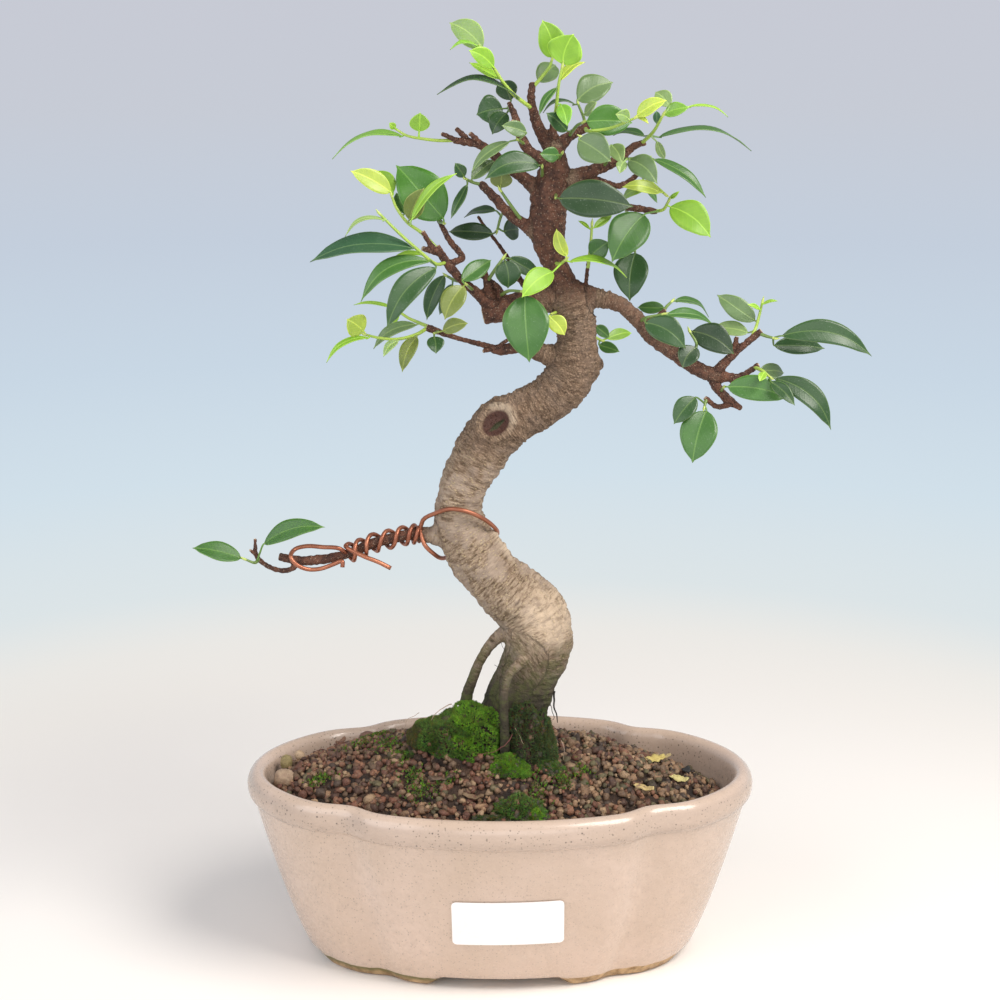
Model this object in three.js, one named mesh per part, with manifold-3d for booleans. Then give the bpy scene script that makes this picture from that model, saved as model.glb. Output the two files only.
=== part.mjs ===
// A small-leaved fig bonsai in an oval, four-lobed pot. Millimetres, +Z up, z = 0 under the pot's feet.
import * as THREE from "three";
import { mergeVertices } from "three/addons/utils/BufferGeometryUtils.js";
import Module from "manifold-3d";

const wasm = await Module();
wasm.setup();

// ---- driving dimensions ----
const GAP = 0.3; // clearance between pieces that touch

const POT_WIDTH = 199;
const POT_DEPTH = 121;
const POT_HEIGHT = 78;
const FOOT_WIDTH = 146;
const FOOT_DEPTH = 70;
const WALL = 5.5;
const LIP_DROP = 11.5;
const LIP_OVERHANG = 2.6;
const FLOOR_UNDERSIDE = 6;
const FLOOR_THICKNESS = 7;
const FOOT_RING = 9;
const ARCH_HEIGHT = 4;
const ARCH_WIDTH = 50;
const SIDE_ARCH_WIDTH = 26;
const LOBE_DENT = 0.028;
const LOBE_ANGLE = 52;
const LOBE_SPREAD = 10;
const WALL_BULGE = 0.72; // under 1, the wall swells low and runs steeper above
const LIP_FRONT = 5; // how far below the rim the lip stands out most
const DRAIN_RADIUS = 7;
const DRAIN_OFFSET = 32;
const POT_SIDES = 48;

const SCREEN_SIDE = 23;
const SCREEN_THICKNESS = 1;
const SCREEN_PITCH = 5;
const SCREEN_BAR = 1;
const CLIP_WIRE = 0.6;
const CLIP_TAIL = 3; // how far each bent end reaches past the drain hole

const LABEL_WIDTH = 42;
const LABEL_HEIGHT = 20;
const LABEL_THICKNESS = 0.3;
const LABEL_ACROSS = 3;
const LABEL_UP = 34;
const LABEL_BOW = 0.25; // room for the facets of the wall behind a smoothly curved label

const SOIL_BELOW_RIM = 10;
const SOIL_EDGE = POT_HEIGHT - SOIL_BELOW_RIM;
const SOIL_RISE = 23;
const SOIL_LEAN = 0.04; // the soil lies lower towards the right, by this share of the way across
const SOIL_SLACK = 0.4; // how far the soil stands off the wall, beyond the clearance
const SOIL_SIDES = 40;

const WIRE_RADIUS = 0.85;
const WIRE_SIDES = 6;
const WIRE_STEPS = 120;

const LEAF_THICKNESS = 0.5;
const LEAF_FOLD = 0.16;
const STALK_RADIUS = 0.42;
const BLADE_STEPS = 4;
const BLADE_WIDEST = 0.82; // under 1, a blade is widest nearer its stalk
const BLADE_FULLNESS = 0.8; // under 1, a blade's outline is rounder than half a wave
const STEM_MARKS = 24;
const BARE_STEM = 0.25; // the share of a stem, next to the wood, that carries no leaves

// The tree has a front. A point is given as [across, up, near]: where a viewer in front sees it against
// the trunk's plane, and how far in front of that plane it lies.
const EYE = new THREE.Vector3(0, -650, 335);
// Heights on the tree are drawn for this soil edge; the whole tree rises or sinks with the soil.
const DRAWN_SOIL_EDGE = 68;
const TREE_LIFT = SOIL_EDGE - DRAWN_SOIL_EDGE;

// ---- helpers ----
function place([across, up, near]) {
  const seen = new THREE.Vector3(across, 0, up).lerp(EYE, near / -EYE.y);
  return seen.setZ(seen.z + TREE_LIFT);
}

function solidOf(geometry) {
  const bare = geometry.clone();
  bare.deleteAttribute("normal");
  bare.deleteAttribute("uv");
  const merged = mergeVertices(bare, 1e-4);
  return new wasm.Manifold(
    new wasm.Mesh({
      numProp: 3,
      vertProperties: new Float32Array(merged.attributes.position.array),
      triVerts: new Uint32Array(merged.index.array),
    }),
  );
}

function geometryOf(solid) {
  const mesh = solid.getMesh();
  const geometry = new THREE.BufferGeometry();
  geometry.setAttribute("position", new THREE.BufferAttribute(new Float32Array(mesh.vertProperties), 3));
  geometry.setIndex(new THREE.BufferAttribute(new Uint32Array(mesh.triVerts), 1));
  geometry.computeVertexNormals();
  return geometry;
}

function largestBody(solid) {
  const bodies = solid.decompose();
  bodies.sort((a, b) => b.volume() - a.volume());
  return bodies[0];
}

function joined(solids) {
  return solids.reduce((sum, solid) => sum.add(solid));
}

function bend(geometry, move) {
  const positions = geometry.attributes.position;
  const point = new THREE.Vector3();
  for (let i = 0; i < positions.count; i += 1) {
    point.fromBufferAttribute(positions, i);
    move(point);
    positions.setXYZ(i, point.x, point.y, point.z);
  }
  return geometry;
}

// Frames along a curve, each turned as little as possible from the one before.
function framesAlong(curve, steps) {
  const start = curve.getTangent(0);
  const sideways = Math.abs(start.y) > 0.8 ? new THREE.Vector3(0, 0, 1) : new THREE.Vector3(0, -1, 0);
  let side = new THREE.Vector3().crossVectors(start, sideways);
  const frames = [];
  for (let i = 0; i <= steps; i += 1) {
    const along = curve.getTangent(i / steps);
    side = side.clone().projectOnPlane(along).normalize();
    const face = new THREE.Vector3().crossVectors(side, along);
    frames.push({ centre: curve.getPoint(i / steps), side, face });
  }
  return frames;
}

// A round limb through [across, up, near, radius] stations.
function limb(stations, sides, grow = 0, perStation = 2) {
  const curve = new THREE.CatmullRomCurve3(stations.map(place), false, "centripetal");
  const steps = (stations.length - 1) * perStation;
  const tube = new THREE.CylinderGeometry(1, 1, 1, sides, steps);
  const frames = framesAlong(curve, steps);
  bend(tube, (point) => {
    const t = THREE.MathUtils.clamp(point.y + 0.5, 0, 1);
    const reach = t * (stations.length - 1);
    const from = Math.min(Math.floor(reach), stations.length - 2);
    const radius = THREE.MathUtils.lerp(stations[from][3], stations[from + 1][3], reach - from) + grow;
    const { centre, side, face } = frames[Math.round(t * steps)];
    const across = point.x * radius;
    const ahead = point.z * radius;
    point.copy(centre).addScaledVector(side, across).addScaledVector(face, ahead);
  });
  return solidOf(tube);
}

function pebble(place3, size, sides = 8) {
  const stone = new THREE.SphereGeometry(0.5, sides, 6);
  stone.scale(size[0], size[1], size[2]);
  stone.translate(place3[0], place3[1], place3[2]);
  return solidOf(stone);
}

function box(width, depth, height, x, y, z) {
  const block = new THREE.BoxGeometry(width, depth, height);
  block.translate(x, y, z);
  return solidOf(block);
}

// ---- pot ----
const WALL_TOP = POT_HEIGHT - LIP_DROP;
const FLOOR_TOP = FLOOR_UNDERSIDE + FLOOR_THICKNESS;

// How far the plan outline dips between the four lobes, at a given turn round the pot.
function lobeScale(turn) {
  const quarter = THREE.MathUtils.radToDeg(Math.atan2(Math.abs(Math.sin(turn)), Math.abs(Math.cos(turn))));
  const off = (quarter - LOBE_ANGLE) / LOBE_SPREAD;
  return 1 - LOBE_DENT * Math.exp(-off * off);
}

// Half width and half depth of the outer wall at a height.
function wallAt(height) {
  const rise = Math.pow(THREE.MathUtils.clamp(height / WALL_TOP, 0, 1), WALL_BULGE);
  return [
    THREE.MathUtils.lerp(FOOT_WIDTH / 2, POT_WIDTH / 2 - LIP_OVERHANG, rise),
    THREE.MathUtils.lerp(FOOT_DEPTH / 2, POT_DEPTH / 2 - LIP_OVERHANG, rise),
  ];
}

// A turned solid whose profile points are [half width, half depth, height, lean to the right].
function lobed(profile, sides) {
  const last = profile.length - 1;
  const points = profile.map(([, , height], i) => new THREE.Vector2(i === 0 || i === last ? 0 : 1, height));
  const turned = new THREE.LatheGeometry(points, sides);
  const rows = profile.length;
  const positions = turned.attributes.position;
  for (let i = 0; i < positions.count; i += 1) {
    const [halfWidth, halfDepth, height, lean = 0] = profile[i % rows];
    const turn = (Math.floor(i / rows) % sides) * ((2 * Math.PI) / sides);
    const scale = lobeScale(turn);
    const across = halfWidth * scale * Math.cos(turn);
    positions.setXYZ(i, across, halfDepth * scale * Math.sin(turn), height - lean * across);
  }
  return solidOf(turned);
}

function innerAt(height) {
  const [halfWidth, halfDepth] = wallAt(height);
  return [halfWidth - WALL, halfDepth - WALL];
}

function potSolid() {
  const shares = [0, 0.05, 0.16, 0.32, 0.52, 0.75, 1];
  const outside = shares.map((share) => share * WALL_TOP).map((h) => [...wallAt(h), h]);
  // The lip's round, as how far in from the overall size and how far down from the rim.
  const round = [[0.8, LIP_DROP - 1.2], [0, LIP_FRONT], [1.2, 1.2], [4, 0], [WALL + 0.5, 1]];
  const lip = round.map(([inward, down]) => [
    POT_WIDTH / 2 - inward, POT_DEPTH / 2 - inward, POT_HEIGHT - down,
  ]);
  const inside = [0.84, 0.64, 0.44, 0.27].map((share) => share * WALL_TOP);
  const inner = [...inside, FLOOR_TOP].map((h) => [...innerAt(h), h]);
  const profile = [[0, 0, 0], ...outside, ...lip, ...inner, [0, 0, FLOOR_TOP]];
  let pot = lobed(profile, POT_SIDES);
  const recess = [
    [0, 0, -1],
    [FOOT_WIDTH / 2 - FOOT_RING, FOOT_DEPTH / 2 - FOOT_RING, -1],
    [FOOT_WIDTH / 2 - FOOT_RING, FOOT_DEPTH / 2 - FOOT_RING, FLOOR_UNDERSIDE],
    [0, 0, FLOOR_UNDERSIDE],
  ];
  pot = pot.subtract(lobed(recess, POT_SIDES));
  pot = pot.subtract(box(ARCH_WIDTH, POT_DEPTH, 2 * ARCH_HEIGHT, 0, 0, 0));
  pot = pot.subtract(box(POT_WIDTH, SIDE_ARCH_WIDTH, 2 * ARCH_HEIGHT, 0, 0, 0));
  for (const side of [-1, 1]) {
    const hole = new THREE.CylinderGeometry(DRAIN_RADIUS, DRAIN_RADIUS, 3 * FLOOR_THICKNESS, 20);
    hole.rotateX(Math.PI / 2);
    hole.translate(side * DRAIN_OFFSET, 0, FLOOR_TOP);
    pot = pot.subtract(solidOf(hole));
  }
  return pot;
}

// ---- drainage screens and their clips ----
const SCREEN_BOTTOM = FLOOR_TOP + GAP;
const SCREEN_TOP = SCREEN_BOTTOM + SCREEN_THICKNESS;
const CLIP_REACH = SCREEN_PITCH / 2;

function screenSolid(x) {
  let screen = box(SCREEN_SIDE, SCREEN_SIDE, SCREEN_THICKNESS, x, 0, SCREEN_BOTTOM + SCREEN_THICKNESS / 2);
  const opening = SCREEN_PITCH - SCREEN_BAR;
  for (const i of [-1.5, -0.5, 0.5, 1.5]) {
    for (const j of [-1.5, -0.5, 0.5, 1.5]) {
      const cut = box(opening, opening, 3, x + i * SCREEN_PITCH, j * SCREEN_PITCH, SCREEN_BOTTOM);
      screen = screen.subtract(cut);
    }
  }
  return screen;
}

function wireTube(points, radius, sides, steps) {
  const section = new THREE.Shape();
  section.absarc(0, 0, radius, 0, 2 * Math.PI);
  const route = new THREE.CatmullRomCurve3(points, false, "centripetal");
  const options = { extrudePath: route, steps, bevelEnabled: false, curveSegments: sides / 2 };
  return solidOf(new THREE.ExtrudeGeometry(section, options));
}

function clipSolid(x) {
  const over = SCREEN_TOP + CLIP_WIRE + GAP;
  const under = FLOOR_UNDERSIDE - CLIP_WIRE - GAP;
  const points = [
    new THREE.Vector3(x - DRAIN_RADIUS - CLIP_TAIL, CLIP_REACH, under),
    new THREE.Vector3(x - CLIP_REACH - 1, CLIP_REACH, under),
    new THREE.Vector3(x - CLIP_REACH, CLIP_REACH, under + 2),
    new THREE.Vector3(x - CLIP_REACH, CLIP_REACH, over - 1),
    new THREE.Vector3(x - CLIP_REACH + 1, CLIP_REACH, over),
    new THREE.Vector3(x + CLIP_REACH - 1, CLIP_REACH, over),
    new THREE.Vector3(x + CLIP_REACH, CLIP_REACH, over - 1),
    new THREE.Vector3(x + CLIP_REACH, CLIP_REACH, under + 2),
    new THREE.Vector3(x + CLIP_REACH + 1, CLIP_REACH, under),
    new THREE.Vector3(x + DRAIN_RADIUS + CLIP_TAIL, CLIP_REACH, under),
  ];
  return wireTube(points, CLIP_WIRE, 6, 22);
}

// ---- label ----
function labelSolid() {
  const sheet = new THREE.BoxGeometry(LABEL_WIDTH, LABEL_THICKNESS, LABEL_HEIGHT, 8, 1, 4);
  bend(sheet, (point) => {
    const height = point.z + LABEL_UP;
    const across = point.x + LABEL_ACROSS;
    const [halfWidth, halfDepth] = wallAt(height);
    const front = -halfDepth * Math.sqrt(1 - (across / halfWidth) ** 2);
    const off = GAP + LABEL_BOW + LABEL_THICKNESS / 2 - point.y;
    point.set(across, front - off, height);
  });
  return solidOf(sheet);
}

// ---- wood: trunk, roots and branches, grown as one piece ----
const TRUNK = [
  [4, 70, 0, 15], [4.5, 90, 0, 12.6], [6.4, 104, 1, 12.4], [10.5, 114, 2, 12.3], [14, 124, 3, 12.6],
  [15, 132, 4, 13.4], [11.5, 141, 4, 13.6], [3, 149.5, 3, 12.2], [-6, 159, 2, 10.8], [-12, 168, 1, 10.4],
  [-15.5, 176, 0, 10], [-15.2, 185, 0, 9], [-12.5, 194, 0, 9.3], [-7.5, 203, 0, 10.2], [0, 213, 0, 10.6],
  [9, 218.5, 0, 9.2], [18, 224, 0, 8.8], [25, 231, 1, 9.2], [28.2, 239, 2, 8.8], [28.4, 247, 2, 7.4],
  [27.5, 254, 2, 7.9], [26.2, 261, 2, 8.6], [24, 267, 2, 5], [21.5, 273, 2, 4.2], [19, 278, 2, 4.8],
  [17.8, 285, 2, 6], [17.6, 293, 2, 7], [18, 301, 2, 6.4], [20, 309, 1, 5.4], [19.8, 317, 0, 3.6],
];

const ROOTS = [
  [
    [4, 134, 2, 3.2], [-3, 128, 3, 2.3], [-7.5, 121, 4, 2.1], [-10.5, 114, 4, 2.1], [-13, 106, 4, 2.4],
    [-15, 92, 4, 3], [-15, 78, 4, 3],
  ],
  [
    [13, 125, 12, 3], [8, 120, 15, 2], [3.6, 115, 17, 1.8], [1.8, 108, 18, 1.7], [1.7, 99, 19, 1.7],
    [2, 90, 20, 2], [2, 76, 20, 2],
  ],
  [[4, 96, 4, 9], [-12, 95, 8, 6], [-24, 91, 10, 4.5], [-33, 82, 12, 3.4], [-36, 74, 12, 2.5]],
  [[6, 90, -6, 8], [16, 82, -14, 5], [26, 74, -22, 3.5]],
  [[6, 92, 4, 7], [9, 82, 10, 5], [11, 74, 14, 4]],
  [[6, 95, -6, 8], [0, 88, -22, 5], [-4, 76, -32, 3]],
];

const BRANCHES = [
  // crown, left side
  [
    [16, 300, 2, 3.4], [9, 305.5, 2, 2.3], [3.5, 309.5, 1, 2], [-2, 314, 0, 1.8], [-7, 317.5, 0, 1.7],
    [-17, 319.3, 0, 1.1],
  ],
  [[-5, 316, 0, 1.3], [-11, 322, 2, 0.9]],
  [[-10, 318, 0, 1.2], [-16, 323.5, -2, 0.9]],
  [[-15, 319, 0, 1], [-21.5, 321.7, 2, 0.8]],
  [[16, 285, 2, 4], [9.5, 288.7, 2, 2.4], [3.5, 292.7, 2, 2], [-1.5, 298.2, 1, 1.8], [-7.5, 304.3, 1, 1.4]],
  [[18, 311, 1, 3], [11, 315, 4, 2], [7.6, 320.5, 5, 1.8], [5, 329, 5, 1.2], [3, 333, 5, 0.8]],
  [[6.4, 323, 5, 1.2], [4.2, 326, 7, 1]],
  // crown, leader and right side
  [[19.5, 315, 0, 3.2], [15.5, 321, 1, 2.2], [12.8, 327, 1, 1.9], [11.3, 334, 2, 1.6], [11.8, 340, 2, 1.1]],
  [[19.5, 315, 0, 2.8], [19.3, 321, 0, 1.7], [19.4, 326.5, 0, 1]],
  [[19.5, 315, 0, 3.2], [25, 320.5, 0, 2], [30, 323.2, 0, 1.7], [36, 328, 0, 1.3]],
  [
    [20, 304, 0, 4.6], [29, 307, -1, 2.6], [37, 309.5, -2, 2], [44, 313, -2, 1.7],
    [48.5, 317, -2, 1.4], [53, 318.6, -2, 1.1],
  ],
  [[30, 307, -1, 2], [38, 304, -5, 1.4], [44, 303, -6, 1.2], [53, 309, -6, 0.9]],
  [[19, 297, 0, 4], [32, 298, -6, 2], [42, 296, -4, 1.5], [49, 295, -3, 1.3], [58, 293.6, -2, 1.1]],
  // sawn-off limb on the left and what grows from it
  [[25, 261, 2, 5.5], [12, 261, 3, 5], [3, 258, 3, 4.9], [-6.5, 255.5, 3, 3.6]],
  [
    [-1, 257, 3, 4], [-6.5, 262, 3, 2.3], [-13, 267.5, 3, 1.7], [-18.5, 273.5, 3, 1.7],
    [-23.5, 281, 3, 1.5],
  ],
  [[-3, 257, 3, 3], [-4.5, 266, 3, 1.6], [-6, 272.5, 3, 1.2]],
  [[0, 258, 3, 2.6], [0, 264.5, 2, 1.4], [-9.5, 272, 0, 0.8]],
  [[-21, 277, 3, 1.4], [-25.5, 281.5, 5, 1], [-28.5, 286.5, 6, 0.9]],
  [[-22, 278, 3, 1.2], [-28.7, 280.4, 6, 1]],
  [[-19, 274.5, 3, 1.3], [-14, 277, -1, 1.3], [-18.5, 283, -4, 1.1], [-25.5, 297, -8, 0.8]],
  // thin branch low on the left
  [
    [26, 239, 1, 6], [14, 241.5, 3, 3], [7, 243.5, 3, 2.2], [0, 242.3, 3, 2], [-6, 244.3, 3, 1.1],
    [-16, 247, 3, 1], [-27.5, 251, 3, 1.4],
  ],
  [[-2, 243, 3, 0.9], [4, 247, 6, 0.7]],
  [[-2, 243, 3, 1], [-6.5, 242, 5, 0.8]],
  // behind the sawn-off limb
  [[17, 262, -2, 2.6], [8, 268, -9, 1.2], [3, 276.5, -10, 0.9], [-8.3, 292, -10, 0.6]],
  // right branch
  [
    [29, 262, 1, 6], [36, 262, 2, 3.6], [41, 261, 3, 3.1], [46, 258.5, 4, 3], [51, 254, 5, 3],
    [56, 248, 6, 2.9], [62, 243.5, 7, 2.8], [69, 238.5, 8, 2.6], [75, 235, 9, 2.6],
    [81, 232.8, 9, 2.8], [89, 232, 9, 1.3],
  ],
  [[80, 233, 9, 2.4], [84, 237.5, 9, 1.8], [89, 242.5, 9, 1.4], [97.5, 249.7, 9, 1.3]],
  [[87, 241, 9, 1.2], [88.5, 247.5, 7, 0.9]],
  [[80, 231, 9, 2], [83, 226.5, 9, 1.8], [87, 222.8, 9, 1.7], [91, 220.2, 9, 0.9]],
  [[88, 222.5, 9, 1.4], [82, 221, 11, 1], [77, 224.5, 12, 1]],
  [[86, 231, 9, 1.6], [91, 233, 10, 1.1], [97, 236.8, 11, 1.1]],
  [[54, 251, 5, 2.2], [58.5, 254.5, 2, 1.2], [61.5, 257.5, 1, 1]],
  [[31.5, 260, 3, 2], [31.8, 266, 3, 0.9], [32.6, 276, 3, 0.7]],
  // wired branch low on the left
  [
    [-16, 171, 0, 7], [-27, 171.3, 0, 3.2], [-34, 171.5, 0, 2.1], [-40, 170, 0, 2], [-47, 168.5, 0, 2],
    [-53, 166, 0, 1.9], [-60, 163.4, 0, 1.8], [-68, 161.6, 0, 1.8], [-76, 161, 0, 1.8],
    [-85, 162.6, 0, 1.7],
  ],
  [
    [-77, 161, 0, 1.5], [-80.5, 157.6, 0, 1.1], [-85, 157.2, 0, 1.1], [-90, 159.3, 0, 1],
    [-93.5, 163, 0, 1], [-93.8, 169.8, 0, 0.6],
  ],
  [[-93, 162.5, 0, 0.8], [-96, 165.3, 2, 0.6]],
];

const KNOT = { at: [-1.5, 214.5, 9.4], radius: 5.4, rim: 1.6 };

function woodSolid(grow) {
  const solids = [limb(TRUNK, 10, grow, 1)];
  for (const stations of ROOTS) {
    solids.push(limb(stations, 5, grow, 1));
  }
  for (const stations of BRANCHES) {
    const sides = stations[0][3] > 2.5 ? 7 : 5;
    solids.push(limb(stations, sides, grow, 1));
  }
  const ring = new THREE.TorusGeometry(KNOT.radius, KNOT.rim + grow, 6, 16);
  ring.rotateX(Math.PI / 2);
  ring.translate(...place(KNOT.at).toArray());
  solids.push(solidOf(ring));
  const wood = joined(solids);
  if (grow > 0) {
    return wood;
  }
  const hollow = new THREE.SphereGeometry(KNOT.radius - 0.6, 12, 8);
  hollow.scale(1, 0.8, 1);
  hollow.translate(...place(KNOT.at).toArray());
  return wood.subtract(solidOf(hollow));
}

// ---- training wire: one length, out along the branch, round the trunk and back ----
const WIRED_STRETCH = [
  [-31, 171.5, 0], [-34, 171.5, 0], [-40, 170, 0], [-47, 168.5, 0], [-53, 166, 0], [-58, 164.1, 0],
];
const WIRED_AXIS = new THREE.CatmullRomCurve3(WIRED_STRETCH.map(place), false, "centripetal");
const WIRED_BRANCH_RADIUS = 2.2;
const COIL_RADIUS = WIRED_BRANCH_RADIUS + GAP + WIRE_RADIUS;
const COIL_TURNS = 3;
const COIL_STEPS = 20;
const COIL_START = 0.4; // turn at which the first strand of the coil begins

function coil(phase) {
  return framesAlong(WIRED_AXIS, COIL_STEPS).map(({ centre, side, face }, i) => {
    const turn = phase + (i / COIL_STEPS) * COIL_TURNS * 2 * Math.PI;
    const point = centre.clone().addScaledVector(side, COIL_RADIUS * Math.cos(turn));
    return point.addScaledVector(face, COIL_RADIUS * Math.sin(turn));
  });
}

const WIRE_INNER_END = [[-42, 158, 5], [-47, 160.6, 5], [-52, 162.6, 4.6]];
const WIRE_ROUND_TRUNK = [
  [-29, 167.5, 4], [-25.5, 163.8, 3], [-22.5, 162, -2], [-19, 163, -9], [-12, 166, -12.6], [-4, 169.5, -8],
  [-1, 171.8, -1], [-2.5, 174.6, 5], [-7, 178, 9.6], [-13, 180.6, 11.6], [-19, 181.4, 10.8],
  [-24.5, 179.8, 7], [-29.5, 177, 3.6],
];
const WIRE_HAIRPIN = [
  [-61.5, 165.8, 3], [-68, 166.4, 1.5], [-74, 166.8, 0.5], [-78.6, 165.6, 0], [-80.4, 162.6, 4],
  [-78.4, 159.6, 4.6],
  [-74, 157.6, 3.6], [-69, 157.8, 3], [-64, 159.6, 3.6], [-60.6, 160.8, 4], [-60.6, 158.4, 4.4],
];

function wireSolid(grow) {
  const inward = coil(COIL_START).reverse();
  const outward = coil(COIL_START + Math.PI);
  const crossing = WIRE_ROUND_TRUNK.map(place);
  const points = [
    ...WIRE_INNER_END.map(place), ...inward, ...crossing, ...outward, ...WIRE_HAIRPIN.map(place),
  ];
  return wireTube(points, WIRE_RADIUS + grow, WIRE_SIDES, WIRE_STEPS);
}

// ---- soil, moss and stones ----
function soilTop(share) {
  return SOIL_EDGE + SOIL_RISE * (1 - share * share);
}

function soilReach(height) {
  return innerAt(height).map((half) => half - GAP - SOIL_SLACK);
}

const SOIL_LOWEST_EDGE = SOIL_EDGE - (SOIL_LEAN * POT_WIDTH) / 2;
const [soilWidth, soilDepth] = soilReach(SOIL_LOWEST_EDGE);

function soilSolid(grow) {
  const heights = [FLOOR_TOP + GAP, ...[0.353, 0.53, 0.735].map((share) => share * SOIL_EDGE)];
  const side = heights.map((height) => [...soilReach(height), height]);
  const top = [1, 0.85, 0.65, 0.45, 0.25].map((share) => [
    soilWidth * share, soilDepth * share, soilTop(share) + grow, SOIL_LEAN,
  ]);
  return lobed([[0, 0, FLOOR_TOP + GAP], ...side, ...top, [0, 0, soilTop(0) + grow]], SOIL_SIDES);
}

// A pebble's place is a share of the soil's half width and half depth, and a height above the soil's edge.
const PEBBLES = {
  pebble_tan_large: { share: [-0.937, -0.135, 6.5], size: [8.7, 8, 8] },
  pebble_green: { share: [-0.948, 0.16, 7.5], size: [5, 5, 6.4] },
  pebble_tan_small: { share: [-0.9, 0.32, 7.2], size: [4.3, 4.4, 4.3] },
  pebble_brown: { share: [-0.606, 0.56, 10.4], size: [7, 6, 5.2] },
};

// A patch of moss grows round the tree's foot, in one cushion or two, at a height above the soil's edge.
const MOSS = {
  moss_mound: [{ at: [-12.5, -8, 18], size: [28, 28, 37] }, { at: [-25, -5, 20], size: [20, 20, 19] }],
  moss_foot: [{ at: [11, -15, 17], size: [17, 22, 38] }],
  moss_front: [{ at: [1, -38, 9], size: [24, 15, 11] }],
};

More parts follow.
